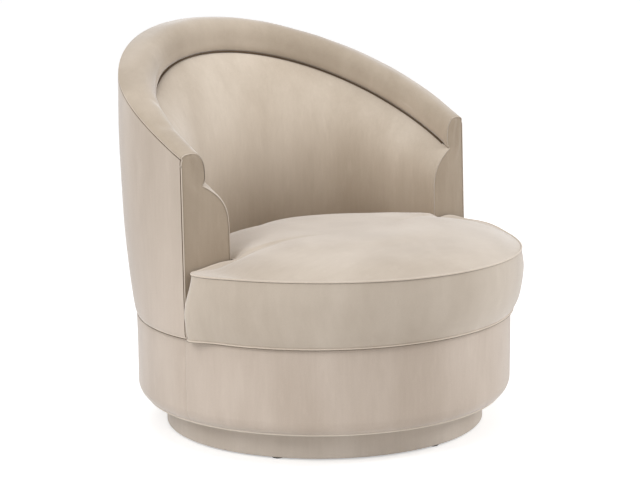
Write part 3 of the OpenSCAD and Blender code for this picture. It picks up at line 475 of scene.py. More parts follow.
# Seams and cords of the shell
def arm_seam(side):
    """The turned seam that runs up the outside of an arm front and over its top to where the crease ends."""
    out, inside = arm_edge(0.9, 1.4, -0.2)
    last = int(np.argmin(np.abs(inside[:, 2] - ridge_z(1.0) + 13)))
    path = np.concatenate([out[1:-1], inside[:last:-1]])
    sink = 3.5 * np.clip(1 - np.arange(len(path))[::-1] / 7, 0, 1)[:, None] ** 1.5
    return tube(f"arm_seam_{side}", (path - PANEL_OUT * sink) * MIRROR[side], 1.0)


def arm_groove_shade(side):
    """A dark cord of painted shade in the groove beside an arm's seam, up its outside."""
    out, _ = arm_edge(0.35, 0.35, 2.7)
    return tube(f"arm_groove_shade_{side}", out[1:-6] * MIRROR[side], 0.75, sides=8)


def crease_shade():
    """A dark cord of painted shade deep in the crease between the rim and the inner back."""
    f = np.linspace(-0.97, 0.97, 300)[:, None]
    z = crease_z(f) - 0.6 - 2.5 * hump(f, LEFT_SAG, 0.15)
    path = set_out(f, CREASE_R - 1.6, z, 0.0, (CREASE_R, crease_z(1.0), 0.0))[:, 0]
    return tube("crease_shade", path, 1.9, sides=8)


def ring_cord(name, r, z, thick, sides):
    """A cord round the chair's axis: a light cord, or in seam_shadow a dark strip of painted shade."""
    return tube(name, on_ring(r, circle(300), z)[:, 0], thick, closed=True, sides=sides)


def shell_cord(name, v, off, lift, radius):
    """A fine cord round the shell's outside at a share v of its height, from arm front to arm front."""
    f = np.linspace(-0.996, 0.996, 260)[:, None]
    r, z, c = outer_line(f, v, off)
    return tube(name, set_out(f, r, z + lift, c, outer_line(1.0, v, 0.0))[:, 0], radius)


# Seat box and plinth
def band_profile(top_r):
    """Radius and height down the band: over its top edge, down its side, round its foot and in under it."""
    low = BASE_Z - 1.5
    return np.concatenate([
        np.linspace([top_r, DECK_Z], [BAND_R - 6, DECK_Z], 10), arc([BAND_R - 3, DECK_Z - 3], 3, 90, 0, 8),
        np.linspace([BAND_R, DECK_Z - 7], [BAND_R, low + BAND_ROUND + 6], 24),
        arc([BAND_R - BAND_ROUND, low + BAND_ROUND], BAND_ROUND, 0, -62, 18),
        [[380.2, 64.0], [379.0, 62.8], [377.0, 62.2], [364.0, low], [BAND_HEM_R, low]]]).T


def band(name, first, last, top_r, count):
    """The seat band between its side seams, drawn in softly at each seam and fuller between them."""
    near = np.array([0, 0.08, 0.18, 0.3, 0.45, 0.65, 0.9])
    middle = np.linspace(first + 1.2, last - 1.2, count)
    angle = np.concatenate([first + near, middle, last - near[::-1]])[:, None]
    turn = np.radians(angle)
    r, z = band_profile(top_r)[:, None]
    from_seam = np.radians(np.minimum(angle - first, last - angle)) * BAND_R
    on_side = eased((DECK_Z - 1 - z) / 14) * eased((z - BASE_Z + 4) / 20)
    valley = 1.5 * (np.exp(-from_seam / 2.5) + hump(from_seam, 0, 24)) * (0.35 + 0.65 * on_side)
    soft = 0.54 * np.sin(turn * 5 + z * 0.02) * eased(from_seam / 40) * on_side
    face_r = r - valley * np.clip((r - DECK_R) / (BAND_R - DECK_R), 0, 1) + soft
    low_share = np.clip((BASE_Z + 34 - z) / 34, 0, 1)
    core_r = np.where(z > 205, FRAME_R + 1.3, mix(383.5, 347.0, low_share**1.5))
    above = z > 200
    under_r = np.where(above, r, np.minimum(r, BAND_HEM_R))
    inner_r = np.where(r < FRAME_R + 1.3, under_r, np.minimum(core_r, face_r - LIP))
    inner_z = np.where(above, np.minimum(z, DECK_Z - LIP), np.maximum(z, BASE_Z - 0.2))
    return slab(name, on_ring(face_r, turn, z), on_ring(inner_r, turn, inner_z))


def plinth_skin():
    """The plinth's cloth over thin padding: a turned ring with soft edges, folded in under its foot."""
    turn = circle(240)
    profile = np.concatenate([
        [[PLINTH_CORE_R, PLINTH_TOP - 0.1]], arc([PLINTH_R - 3.5, PLINTH_TOP - 3.7], 3.5, 90, 0, 7),
        np.linspace([PLINTH_R, PLINTH_TOP - 7], [PLINTH_R, PLINTH_LOW + 5], 12),
        arc([PLINTH_R - 3, PLINTH_LOW + 3], 3, 0, -90, 7),
        [[PLINTH_HEM_R, PLINTH_LOW], [PLINTH_HEM_R, PLINTH_LOW + 1.3], [PLINTH_CORE_R, PLINTH_LOW + 1.4]]])
    r, z = profile.T[:, None]
    soft = 0.3 * np.sin(7 * turn + 0.4) + 0.21 * np.sin(12 * turn + 0.07 * z) - 0.7
    return swept("plinth_skin", on_ring(r + soft * eased((r - 337) / 4), turn, z), closed=True)


def dust_cloth():
    """The lining under the seat box: a ring stapled at both edges, which sags and gathers between staples."""
    turn, s = circle(288), np.linspace(0, 1, 22)[None, :]
    r = mix(DUST_IN_R, DUST_OUT_R, s)
    sag = 0.78 * np.sin(np.pi * s) * (1 + 0.3 * np.sin(48 * turn) * (1 - s))
    low = on_ring(r, turn, BASE_Z - 0.6 - sag)
    return slab("dust_cloth", on_ring(r, turn, BASE_Z - 0.1), low, closed=True)


def deck_pad():
    """The padded seat deck: lining over foam and felt, drawn down along a line of stitches near its edge."""
    turn = circle(200).T
    r = np.concatenate([np.linspace(0.02, 0.88, 30), np.linspace(0.9, 1, 14)])[:, None] * (DECK_R - 0.6)
    stitch = 0.9 * hump(r, DECK_R - 14, 2.6) * (1 + 0.35 * np.sin(150 * turn))
    roll = 1.2 * np.clip((r - DECK_R + 6) / 6, 0, 1) ** 2
    soft = 0.35 * (1 + np.sin(5 * turn + r * 0.02)) * eased((DECK_R - 20 - r) / 60)
    high = on_ring(r, turn, DECK_Z - 0.05 - stitch - roll - soft)
    return lens("deck_pad", on_ring(r, turn, FELT_Z), high, [[0, 0, FELT_Z], [0, 0, DECK_Z - 0.6]])


# Seat cushion
def leaves(q, d, c, r):
    """Where a line from q along d leaves the circle of radius r round c."""
    w = q - c
    b = w @ d
    return q + d * (math.sqrt(b * b - w @ w + r * r) - b)


def cushion_outline(off):
    """The cushion's plan, moved outward by off: front arc, corner, edge along the arm, notch and rear arc."""
    rear_c = np.array([0, -PAD_SHIFT])
    from_line = np.array([ARM_R, FRONT_Y])
    corner_c = leaves(from_line + PANEL_NORMAL * (EAR_GAP + CORNER_R), PANEL_DIR, np.zeros(2),
                      CUSHION_R - CORNER_R)
    notch_c = leaves(from_line + PANEL_NORMAL * (EAR_GAP - NOTCH_R), PANEL_DIR, rear_c, REAR_R + NOTCH_R)
    corner_a = math.degrees(math.atan2(corner_c[1], corner_c[0]))
    notch_a = math.degrees(math.atan2(notch_c[1] - rear_c[1], notch_c[0]))
    corner = arc(corner_c, CORNER_R + off, corner_a, 90 + ARM_TURN, 12)
    notch = arc(notch_c, NOTCH_R - off, ARM_TURN - 90, notch_a - 180, 9)
    edge = mix(corner[-1], notch[0], np.linspace(0, 1, 12)[1:-1, None])
    half = np.concatenate([arc(np.zeros(2), CUSHION_R + off, -90, corner_a, 64)[:-1], corner, edge, notch,
                           arc(rear_c, REAR_R + off, notch_a, 90, 46)[1:]])
    return np.concatenate([half, half[-2:0:-1] * [-1, 1]])


def cushion_level(off, z):
    """The plan at a height: drawn in by the tuck in front toward the lower seam, at the ears' corners, and at
    the cheeks between front and sides, which fall in toward the top and stand out a little near the foot."""
    p = cushion_outline(off)
    t = np.clip((SEAM_HIGH - z) / (SEAM_HIGH - SEAM_LOW), 0, 1)
    front = eased((FRONT_Y + 10 - p[:, 1]) / 95)
    p = p * (1 - CUSHION_TUCK * t**2.6 * front / CUSHION_R)[:, None]
    reach = np.hypot(np.abs(p[:, 0]) - 426, p[:, 1] + 42)
    pull = 14 * hump(reach, 0, 42) * eased((z - 296) / 80) + 2 * hump(reach, 0, 40) * eased((296 - z) / 60)
    p = p - np.stack([0.74 * np.sign(p[:, 0]) * pull, 0.67 * pull], -1)
    cheek = hump(np.degrees(np.arctan2(-p[:, 1], np.abs(p[:, 0]))), 42, 20) * (p[:, 1] < FRONT_Y)
    fall = 5.5 * eased((z - 330) / 52) + 1.5 * hump(t, 0.45, 0.2) - 3.0 * hump(t, 0.85, 0.13)
    p = p * (1 - cheek * fall / CUSHION_R)[:, None]
    return np.concatenate([p, np.full((len(p), 1), z)], 1)


def seam_lift(p):
    """The upper seam falls from left to right in front, rises between the arms and drops at the rear."""
    x, y = p[:, 0], p[:, 1]
    front = eased((FRONT_Y - y) / 150)
    right = 17 * eased((425 - x) / 110) + 6 * hump(x, 352, 45)
    between = np.where(x > 0, right, 10 * eased((395 + x) / 85)) * eased((140 - y) / 120) * (1 - front)
    low_right = 5.0 * hump(np.degrees(np.arctan2(-y, x)), 34, 20)
    rear = (13 + 9 * hump(x, -55, 60)) * eased((y - 90) / 180)
    return between - front * (0.4 + 0.008 * x + low_right) - rear


def lifted(ring, share):
    """A ring that follows the upper seam's rise and fall by a share."""
    ring[:, 2] += seam_lift(ring) * share
    return ring


def drawn_in(ring, share):
    """A ring drawn toward the cushion's middle, to a share of its reach."""
    ring[:, 0] *= share
    ring[:, 1] = mix(CROWN_Y, ring[:, 1], share)
    return ring


def inset(plan, edge):
    """How far each point of a plan lies inside a closed edge, measured to the edge set out finely."""
    at = np.arange(0, len(edge), 0.14)
    closed = np.concatenate([edge, edge[:1]])
    fine = np.stack([np.interp(at, np.arange(len(closed)), closed[:, k]) for k in (0, 1)], -1)
    return np.sqrt(((plan[:, None] - fine[None]) ** 2).sum(-1).min(1))


def crown_share(p):
    """How far a point lies from the crown's edge toward its middle: one less its distance from the middle
    over the plan's reach that way. Beside the arms the reach passes gently from front arc to rear arc."""
    x, y = p[:, 0], p[:, 1] - MIDDLE_Y
    turn = np.degrees(np.arctan2(np.abs(x), -y))

    def reach(radius, centre_y):
        b = -cos_deg(turn) * (MIDDLE_Y - centre_y)
        return np.sqrt(b**2 + radius**2 - (MIDDLE_Y - centre_y) ** 2) - b

    edge = mix(reach(CUSHION_R, 0.0), reach(REAR_R, -PAD_SHIFT), eased((turn - TURN_FROM) / TURN_OVER))
    return np.clip(1 - np.hypot(x, y) / edge, 0, 1)


def crown_ring(share):
    """A ring over the crown, which falls to the seam over a slope that is longest at the left rear."""
    ring = cushion_level(-WELT_R - 0.4, SEAM_HIGH)
    lift, edge = seam_lift(ring), ring[:, :2].copy()
    ring = drawn_in(ring, share)
    slope = 16 + 20 * eased((ring[:, 1] + 60) / 120) * eased((70 - ring[:, 0]) / 140)
    full = (1 - (1 - crown_share(ring)) ** CROWN_POWER) * (1 - np.exp(-inset(ring[:, :2], edge) / slope))
    ring[:, 2] = SEAM_HIGH + 0.9 + CROWN_H * full + lift * share**3
    return ring


def cushion_rings():
    """Rings from the middle of the underside out to the lower seam, up the boxing and over the crown."""
    rings = [drawn_in(cushion_level(-WELT_R - 0.6, SEAM_LOW), share) for share in UNDER_SHARES]
    for ring in rings:
        ring[:, 2] = CUSHION_Z + 1.35
    rings += [cushion_level(-WELT_R - 0.4, CUSHION_Z + 1.55), cushion_level(-WELT_R * 0.75, SEAM_LOW)]
    for t in BOXING_SHARES:
        out = BULGE * (1 - (2 * t - 1) ** 2) - 0.3
        rings.append(lifted(cushion_level(out, mix(SEAM_LOW, SEAM_HIGH, t)), t))
    rings.append(lifted(cushion_level(-WELT_R * 0.75, SEAM_HIGH), 1.0))
    return np.stack(rings + [crown_ring(share) for share in CROWN_SHARES])


def cushion_body(rings):
    """The cushion's closed skin over its rings, with a pole below and one above."""
    rows, columns = rings.shape[:2]
    size = rows * columns
    ring = np.arange(columns)
    poles = [[0, CROWN_Y, CUSHION_Z + 1.35], [0, CROWN_Y, rings[-1, 0, 2] + 0.1]]
    faces = [grid_faces(rows, columns, wrap_columns=True), fan(ring, size),
             fan(ring + size - columns, size + 1)[:, [1, 0, 2]]]
    return turned_out(meshed("seat_cushion", np.concatenate([rings.reshape(-1, 3), poles]), faces))


def filled(piece, held, cap):
    """How far each point of a piece moves in Blender's cloth under inner pressure, in metres: held says which
    points don't move, and cap gives each point's furthest move."""
    work = piece.copy()
    work.data = piece.data.copy()
    bpy.context.scene.collection.objects.link(work)
    work.vertex_groups.new(name="held").add(np.flatnonzero(held).tolist(), 1.0, "REPLACE")
    cloth = work.modifiers.new("cloth", "CLOTH")
    wanted = {"quality": 5, "mass": 0.35, "tension_stiffness": 25, "compression_stiffness": 25,
              "shear_stiffness": 10, "bending_stiffness": 3, "use_pressure": True,
              "uniform_pressure_force": 4.0, "vertex_group_mass": "held", "pin_stiffness": 5}
    for key, value in wanted.items():
        setattr(cloth.settings, key, value)
    cloth.settings.effector_weights.gravity = 0
    cloth.point_cache.frame_start, cloth.point_cache.frame_end = 1, CLOTH_FRAMES
    for frame_now in range(1, CLOTH_FRAMES + 1):
        bpy.context.scene.frame_set(frame_now)
    moved = places(work.evaluated_get(bpy.context.evaluated_depsgraph_get()).to_mesh())
    bpy.data.objects.remove(work)
    bpy.context.scene.frame_set(1)
    step = moved - places(piece.data)
    length = np.maximum(np.linalg.norm(step, axis=1, keepdims=True), 1e-9)
    cap = np.maximum(cap[:, None], 1e-12)
    return step * cap * (1 - np.exp(-length / cap)) / length


def seat_cushion():
    """The loose cushion, swollen by its filling where nothing presses on it."""
    rings = cushion_rings()
    piece = cushion_body(rings)
    rows, columns = rings.shape[:2]
    row = np.concatenate([np.repeat(np.arange(rows), columns), [0, rows - 1]])
    y = np.concatenate([rings[..., 1].ravel(), [CROWN_Y, CROWN_Y]])
    first_crown = HIGH_SEAM_ROW + 1
    depth = np.concatenate([inset(rings[..., :2].reshape(-1, 2), rings[first_crown, :, :2]), [0, 250]])
    cap = np.where(row > first_crown, 0.0045 * eased(depth / 140) + 0.0005,
                   mix(0.0004, 0.004, eased((FRONT_Y - 20 - y) / 60)))
    held = (row <= LOW_SEAM_ROW) | (row == HIGH_SEAM_ROW) | (row == first_crown)
    move = filled(piece, held, np.where(row <= LOW_SEAM_ROW, 0.0, cap))
    grid = move[:-2].reshape(rows, columns, 3)
    grid = np.mean([np.roll(grid, k, 1) for k in range(-9, 10)], 0)
    share = np.concatenate([np.ones(rows - len(CROWN_SHARES)), CROWN_SHARES])
    calm = eased((0.55 - share) / 0.3)[:, None, None]
    grid = mix(grid, grid.mean(1, keepdims=True), calm)
    spots = places(piece.data) + np.concatenate([grid.reshape(-1, 3), move[-2:-1], grid[-1, :1]])
    piece.data.vertices.foreach_set("co", spots.ravel())
    piece.data.update()
    smooth = piece.modifiers.new("smooth", "SUBSURF")
    smooth.levels = smooth.render_levels = 1
    return piece


def cushion_underside():
    """The cushion's lining below: a thin closed panel over the lower plan, quilted by a shallow wave."""
    shares = np.concatenate([np.linspace(0.06, 0.94, 20), [0.97, 1.0]])[:, None]
    plan = cushion_level(-WELT_R - 0.3, SEAM_LOW)[None]
    x, y = shares * plan[..., 0], mix(CROWN_Y, plan[..., 1], shares)
    low = CUSHION_Z + 0.1 + 0.12 * (1 + np.sin(x / 23) * np.sin(y / 23)) * eased((1 - shares) / 0.1)
    high = CUSHION_Z + 1.05 + 0 * x
    poles = [[0, CROWN_Y, CUSHION_Z + 0.22], [0, CROWN_Y, high[0, 0]]]
    return welded(lens("cushion_underside", *(np.stack([x, y, z], -1) for z in (low, high)), poles))


def seam_cord(name, z, off, lift, radius, sides):
    """A cord along a seam of the cushion: a welt, or in seam_shadow a dark strip of painted shade below it.
    """
    return tube(name, lifted(cushion_level(off, z), lift), radius, closed=True, sides=sides)


# Shader maths
class Value:
    """A socket, on which Python's own operators build Math nodes."""

    def __init__(self, made, socket):
        self.made, self.socket = made, socket

    def maths(self, operation, other):
        return self.made.node("ShaderNodeMath", {"operation": operation}, [self, other])

    def __add__(self, other):
        return self.maths("ADD", other)

    def __mul__(self, other):
        return self.maths("MULTIPLY", other)

    __radd__, __rmul__ = __add__, __mul__


class Tree:
    """A node tree under construction."""

    def __init__(self, tree):
        self.tree = tree

    def feed(self, socket, value):
        """Gives a socket a link or a plain value."""
        if isinstance(value, Value):
            self.tree.links.new(value.socket, socket)
        elif value is not None:
            socket.default_value = value

    def node(self, kind, settings, inputs, output=0):
        """A node of a kind, with its settings made first and its inputs then given by order or by name."""
        made = self.tree.nodes.new(kind)
        for key, value in settings.items():
            setattr(made, key, value)
        for key, value in inputs.items() if isinstance(inputs, dict) else enumerate(inputs):
            self.feed(made.inputs[key], value)
        return Value(self, made.outputs[output])

    def looked_at(self):
        """One for what the camera or a polished surface sees, and nought for other light."""
        camera_ray = self.node("ShaderNodeLightPath", {}, [], "Is Camera Ray")
        return camera_ray.maths("MAXIMUM", Value(self, camera_ray.socket.node.outputs["Is Glossy Ray"]))


class Finish(Tree):
    """A material under construction: its nodes and the inputs of its Principled shader."""

    def __init__(self, name):
        self.material = bpy.data.materials.new(name)
        self.material.use_nodes = True
        super().__init__(self.material.node_tree)
        self.shader = self.tree.nodes["Principled BSDF"]
        self.place = self.node("ShaderNodeTexCoord", {}, [], "Object")

    def set(self, **inputs):
        for key, value in inputs.items():
            self.feed(self.shader.inputs[key.replace("_", " ")], value)

    def noise(self, scale, detail=2.0, rough=0.5, stretch=None):
        spot = self.place
        if stretch:
            spot = self.node("ShaderNodeMapping", {}, {"Vector": spot, "Scale": stretch})
        return self.node("ShaderNodeTexNoise", {},
                         {"Vector": spot, "Scale": scale, "Detail": detail, "Roughness": rough})

    def wave(self, axis, scale, distortion):
        return self.node("ShaderNodeTexWave", {"bands_direction": axis},
                         {"Vector": self.place, "Scale": scale, "Distortion": distortion})

    def blend(self, factor, a, b):
        """Screen colours a and b, or colours already made, mixed by a factor."""
        a, b = (colour if isinstance(colour, Value) else linear(*colour) for colour in (a, b))
        return self.node("ShaderNodeMix", {"data_type": "RGBA"}, {0: factor, 6: a, 7: b}, 2)

    def ramp(self, value, low, high):
        """The value carried from between low and high to between nought and one, smoothly."""
        return self.node("ShaderNodeMapRange", {"interpolation_type": "SMOOTHSTEP"},
                         {"Value": value, "From Min": low, "From Max": high})

    def bump(self, height, distance, strength, under=None):
        return self.node("ShaderNodeBump", {}, {"Height": height, "Distance": distance, "Strength": strength,
                                                "Normal": under})


def linear(red, green, blue):
    """A colour written in screen values from 0 to 255, as the renderer's linear ones."""
    c = np.minimum(np.array([red, green, blue]) / 255, 1)
    c = np.where(c <= 0.04045, c / 12.92, ((c + 0.055) / 1.055) ** 2.4)
    return (*c.tolist(), 1.0)


def velvet(name, light, dark, streak=(1.0, 1.0, 0.12), low=None, sheen=0.55):
    """Short-pile velvet: brushed patches, fine streaks of the nap, marks and fuzz; low paints light or shade
    on the
    lower part: colour factors, above one for painted light and below one for painted shade, and the heights
    in metres between which it fades out."""
    made = Finish(name)
    patches = made.ramp(made.noise(6.0, 3.0, 0.55, (1, 1, 0.35)), 0.30, 0.72)
    streaks = made.noise(150.0, 2.0, 0.55, streak)
    fine = made.noise(900.0, 2.0, 0.6)
    marks = made.ramp(made.noise(38.0, 3.0, 0.6, (1, 1, 0.3)), 0.56, 0.74)
    share = patches * 0.48 + streaks * 0.22 + marks * 0.10 + made.ramp(fine, 0.25, 0.75) * 0.22
    colour = made.blend(share, dark, light)
    # Painted light or shade on the lower part: its colour scaled by low's factors, fading out between two
    # heights
    if low:
        shade, bottom, top = low
        height = made.node("ShaderNodeSeparateXYZ", {}, [made.place], 2) + made.noise(4.0, 2.0) * 0.06
        shaded = made.blend(share, np.multiply(shade, dark), np.multiply(shade, light))
        colour = made.blend(made.ramp(height, bottom, top), shaded, colour)
    rough = made.noise(30.0, 2.0, 0.5, streak) * 0.12 + 0.78
    nap = made.bump(streaks, 0.0004, 0.2)
    made.set(Base_Color=colour, Roughness=rough, Normal=made.bump(fine, 0.0004, 0.5, nap))
    made.set(Sheen_Weight=sheen, Sheen_Roughness=0.38, Sheen_Tint=linear(252, 250, 250),
             Specular_IOR_Level=0.2)
    return made.material


def woven(name, colour, second, pitch, depth=0.0004):
    """Plain woven cloth: crossing threads as waves, with a little unevenness between threads."""
    made = Finish(name)
    warp, weft, along_z = (made.wave(axis, 1 / pitch / 2, 0.6) for axis in "XYZ")
    threads = warp.maths("MAXIMUM", weft) * 0.7 + along_z * 0.3
    uneven = made.noise(140.0, 3.0, 0.6)
    made.set(Base_Color=made.blend(threads * 0.6 + uneven * 0.4, second, colour), Sheen_Weight=0.15)
    made.set(Roughness=uneven * 0.1 + 0.85, Normal=made.bump(threads + uneven * 0.3, depth, 0.8))
    return made.material


def soft_fill(name, colour, second, scale):
    """Foam, felt or fibre: small open cells or fibres as fine noise."""
    made = Finish(name)
    cells = made.node("ShaderNodeTexVoronoi", {}, {"Vector": made.place, "Scale": scale})
    drift = made.noise(12.0, 3.0)
    made.set(Base_Color=made.blend(cells * 0.7 + drift * 0.3, second, colour), Roughness=drift * 0.1 + 0.85)
    made.set(Normal=made.bump(cells, 0.0006, 0.7))
    return made.material


def sawn_wood(name, light, dark, layers=False):
    """Wood: growth rings stretched along the grain, or thin plies at an edge, with pores and saw marks."""
    made = Finish(name)
    grain = made.noise(14.0, 4.0, 0.6, (1, 9, 9))
    rings = made.node("ShaderNodeTexWave", {"wave_type": "RINGS"},
                      {"Vector": made.place, "Scale": 14.0, "Distortion": 5.0, "Detail": 3.0,
                       "Detail Scale": 1.5})
    pores = made.noise(420.0, 2.0, 0.7, (1, 6, 6))
    share = grain * 0.45 + rings * 0.4 + made.ramp(pores, 0.45, 0.62) * 0.15
    if layers:
        share = share * 0.7 + made.wave("Z", 160.0, 0.3) * 0.3
    made.set(Base_Color=made.blend(share, dark, light), Roughness=grain * 0.15 + 0.6)
    made.set(Normal=made.bump(pores + grain * 0.4, 0.0003, 0.5))
    return made.material


def metal(name, colour, rough, brushed=None):
    """Plated or polished steel: fine brushing, small stains and a drift of roughness."""
    made = Finish(name)
    lines = made.noise(700.0, 2.0, 0.6, brushed)
    stain = made.ramp(made.noise(60.0, 4.0, 0.6), 0.45, 0.8)
    made.set(Base_Color=made.blend(stain, colour, np.multiply(colour, 0.78)), Metallic=1.0)
    made.set(Roughness=lines * 0.14 + stain * 0.12 + rough, Normal=made.bump(lines, 0.00005, 0.4))
    return made.material


def moulded(name, colour, worn, rough):
    """Moulded plastic: fine grain of the mould, scuffed toward the places that rub."""
    made = Finish(name)
    grain = made.noise(1500.0, 2.0, 0.5)
    scuff = made.ramp(made.noise(180.0, 4.0, 0.7), 0.52, 0.75)
    made.set(Base_Color=made.blend(scuff, colour, worn), Roughness=scuff * 0.2 + rough)
    made.set(Normal=made.bump(grain, 0.00008, 0.5))
    return made.material


def painted(piece, material):
    piece.data.materials.clear()
    piece.data.materials.append(material)


def dressed(piece, material, body, *nodes, slot="velvet", fill=None):
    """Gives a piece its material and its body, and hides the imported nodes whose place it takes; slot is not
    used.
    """
    painted(piece, material)
    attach(piece, body)
    if nodes:
        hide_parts(*nodes)
    return piece


# Cloths
# The shell's low paints light onto its lower part: lighter toward the foot
shell_velvet = velvet("shell_velvet", (205, 192, 179), (173, 158, 143),
                      low=((1.045, 1.045, 1.05), 0.22, 0.60), sheen=0.7)
rim_velvet = velvet("rim_velvet", (202, 188, 171), (165, 150, 132), streak=(0.5, 0.5, 0.4), sheen=1.0)
# The inner back's low paints shade onto its lower part: darker toward the seat
inner_velvet = velvet("inner_velvet", (226, 214, 199), (184, 169, 151),
                      low=((0.79, 0.765, 0.735), 0.38, 0.66), sheen=1.0)
# The arm fronts' low paints shade onto their lower part: darker toward the seat
panel_velvet = velvet("panel_velvet", (183, 167, 149), (149, 134, 116), low=((0.91, 0.91, 0.91), 0.24, 0.50))
cushion_velvet = velvet("cushion_velvet", (210, 198, 184), (178, 164, 148), streak=(0.16, 0.7, 0.2),
                        sheen=0.8)
plinth_velvet = velvet("plinth_velvet", (223, 212, 200), (194, 181, 167))
# Lighter cloth of the cords and welts: a painted highlight along the seams
edge_highlight_velvet = velvet("edge_highlight_velvet", (222, 210, 196), (196, 182, 166))
# Lighter still: a painted highlight on the band's foot cord
foot_highlight_velvet = velvet("foot_highlight_velvet", (236, 226, 213), (216, 204, 189))
# Dark cloth of painted shade, for the strips in the grooves, the crease and under the welts and foot cords
seam_shadow = velvet("seam_shadow", (104, 87, 70), (80, 65, 51), sheen=0.05)
lining_cloth = woven("deck_lining", (150, 142, 131), (118, 110, 100), 0.0009)
dust_weave = woven("dust_cloth_weave", (70, 67, 64), (42, 40, 38), 0.0008)

# Padded skins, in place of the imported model's soft solids
dressed(outer_back(), shell_velvet, "seat_body", "outer_back_cover", "outer_wadding", fill=0.9)
dressed(rim_roll(), rim_velvet, "seat_body", "rim_cover", "rim_foam", fill=0.8)
dressed(inner_back(), inner_velvet, "seat_body", "inner_back_cover", "back_foam", fill=0.8)
for side in MIRROR:
    dressed(arm_front(side), panel_velvet, "seat_body", f"arm_panel_{side}", "arm_front_foams", fill=0.8)
dressed(plinth_skin(), plinth_velvet, "plinth", "plinth_cover", "plinth_padding", fill=0.9)
seam_x, seam_y = front_meet(BAND_R, DECK_Z, 0.0, BAND_SEAM_IN)
side_seam = math.degrees(math.atan2(seam_x, -seam_y))
dressed(band("band_front", -side_seam, side_seam, DECK_R + 0.4, 210), shell_velvet, "seat_body",
        "band_cover_front", "front_edge_foam", fill=0.9)
dressed(band("band_rear", side_seam, 360 - side_seam, FRAME_R + 1.6, 250), shell_velvet, "seat_body",
        "band_cover_rear", "band_foam", fill=0.9)

# Cords on the seat body in lighter cloth for a painted highlight, and dark strips of painted shade in its
# grooves and crease
for piece in (arm_seam("left"), arm_seam("right"), shell_cord("shell_foot_cord", 0.0, -1.0, 1.9, 1.2),
              shell_cord("rim_seam_cord", 1.0, -1.2, 1.2, 0.8)):
    dressed(piece, edge_highlight_velvet, "seat_body")
# Dark strips of painted shade in the grooves, the crease and under the rim seam and the foot cords
for piece in (arm_groove_shade("left"), arm_groove_shade("right"), crease_shade(),
              shell_cord("rim_seam_shade", 1.0, -1.1, -1.0, 0.8),
              shell_cord("shell_foot_shade", 0.0, -1.2, 0.2, 0.8),
              ring_cord("band_foot_shade", 377.6, 62.6, 1.1, 8)):
    dressed(piece, seam_shadow, "seat_body")
dressed(ring_cord("band_cord", 380.4, 64.1, 1.9, 10), foot_highlight_velvet, "seat_body")

# The cushion, the deck and the dust cloth
dressed(seat_cushion(), cushion_velvet, "seat_cushion", "cushion_foam", "cushion_wrap", "cushion_top_cover",
        "cushion_boxing", fill=0.9)
dressed(cushion_underside(), lining_cloth, "seat_cushion", "cushion_bottom_cover", slot="lining", fill=0.3)
# Dark strips of painted shade just below the cushion's welts
dressed(seam_cord("welt_top_shade", SEAM_HIGH - 2.1, -0.1, 1, 0.6, 8), seam_shadow, "seat_cushion")
dressed(seam_cord("welt_bottom_shade", SEAM_LOW - 1.5, 1.4, 0, 0.6, 8), seam_shadow, "seat_cushion")
dressed(seam_cord("welt_top", SEAM_HIGH, 0.2, 1, WELT_R, 10), edge_highlight_velvet, "seat_cushion", "cushion_welt_top")
dressed(seam_cord("welt_bottom", SEAM_LOW, 0.2, 0, WELT_R, 10), edge_highlight_velvet, "seat_cushion",
        "cushion_welt_bottom")
dressed(deck_pad(), lining_cloth, "seat_body", "deck_cloth", "deck_foam", "deck_felt", slot="lining",
        fill=0.9)
dust = dressed(dust_cloth(), dust_weave, "seat_body", "dust_cover", slot="lining")

# Finishes of the CAD pieces that show inside and underneath
finishes = {
    "timber": sawn_wood("softwood", (205, 172, 128), (158, 118, 76)),
    "plywood": sawn_wood("birch_plywood", (219, 192, 150), (178, 142, 98), layers=True),
    "felt": soft_fill("needled_felt", (126, 130, 133), (92, 95, 98), 900.0),
    "webbing": woven("strap_weave", (78, 72, 68), (48, 44, 42), 0.0016),
    "hessian": woven("jute_weave", (166, 138, 98), (112, 88, 58), 0.0022, depth=0.0007),
    "plate_steel": metal("zinc_plate", (168, 170, 174), 0.32),
    "ball_steel": metal("polished_ball", (200, 202, 206), 0.1),
    "screw_steel": metal("screw_zinc", (182, 181, 176), 0.28, (1, 1, 5)),
    "glide_plastic": moulded("glide_black", (30, 30, 31), (72, 71, 70), 0.45),
    "cage_plastic": moulded("cage_nylon", (222, 219, 210), (196, 190, 178), 0.5),
    "zip_tape": woven("zip_weave", (158, 146, 131), (126, 114, 101), 0.0007),
    "zip_metal": metal("dull_nickel", (138, 135, 131), 0.3),
}
for row in frame["record"]["subparts"]:
    if row["material_slot"] in finishes:
        painted(frame["nodes"][row["node"]], finishes[row["material_slot"]])


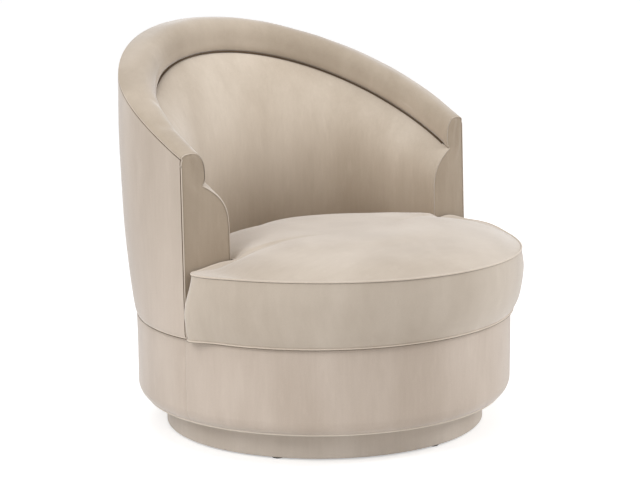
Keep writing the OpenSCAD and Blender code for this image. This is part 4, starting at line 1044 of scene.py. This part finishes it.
# Floor, world, lamps and camera
def studio():
    """A wide white floor that keeps the shadow, and a white world, both brighter to the camera."""
    corners = np.array([[-1, -1, 0], [1, -1, 0], [1, 1, 0], [-1, 1, 0]])
    floor = meshed("floor", corners * 30000.0, [np.array([[0, 1, 2, 3]])])
    made = Finish("studio_floor")
    made.set(Base_Color=(0.86, 0.86, 0.86, 1), Roughness=0.9, Specular_IOR_Level=0.1)
    glow = made.node("ShaderNodeEmission", {}, {"Color": (1, 1, 1, 1), "Strength": made.looked_at() * 0.46})
    both = made.node("ShaderNodeAddShader", {}, [Value(made, made.shader.outputs[0]), glow])
    made.feed(made.tree.nodes["Material Output"].inputs["Surface"], both)
    floor.data.materials.append(made.material)
    world = bpy.data.worlds.new("studio")
    bpy.context.scene.world = world
    world.use_nodes = True
    made = Tree(world.node_tree)
    back = made.tree.nodes["Background"]
    made.feed(back.inputs["Color"], (1, 1, 1, 1))
    made.feed(back.inputs["Strength"], made.looked_at() * 0.38 + 0.62)


def lamp(name, spot, size, power):
    """A soft round lamp that shines at the middle of the chair."""
    data = bpy.data.lights.new(name, "AREA")
    data.shape = "DISK"
    data.size, data.energy = size, power
    made = shown(name, data)
    made.location = spot
    made.rotation_mode = "QUATERNION"
    made.rotation_quaternion = (Vector((0, 0, 0.4)) - Vector(spot)).to_track_quat("-Z", "Y")


def camera():
    """The photograph's view, as found from the round edges of plinth, band and cushion."""
    azimuth, elevation, roll = math.radians(-42.9), math.radians(10.853), math.radians(-0.653)
    distance, aim = 4.40, np.array([0, 0, 0.38])
    back = np.array([math.sin(azimuth) * math.cos(elevation), -math.cos(azimuth) * math.cos(elevation),
                     math.sin(elevation)])
    right = np.array([math.cos(azimuth), math.sin(azimuth), 0])
    up = np.cross(back, right)
    across = right * math.cos(roll) + up * math.sin(roll)
    upward = up * math.cos(roll) - right * math.sin(roll)
    data = bpy.data.cameras.new("camera")
    data.sensor_width, data.lens = 36.0, 115.73
    data.shift_x, data.shift_y = -0.0044, 0.005
    data.clip_start, data.clip_end = 0.1, 200
    made = shown("camera", data)
    pose = np.eye(4)
    pose[:3] = np.stack([across, upward, back, aim + back * distance], 1)
    made.matrix_world = Matrix(pose.tolist())
    bpy.context.scene.camera = made


studio()
camera()
lamp("left", (-2.9, -0.3, 2.5), 1.8, 42)
lamp("right", (2.8, -2.1, 2.1), 1.8, 56)
lamp("top", (-0.9, 0.1, 4.2), 2.0, 25)
bpy.context.scene.view_settings.view_transform = "Standard"
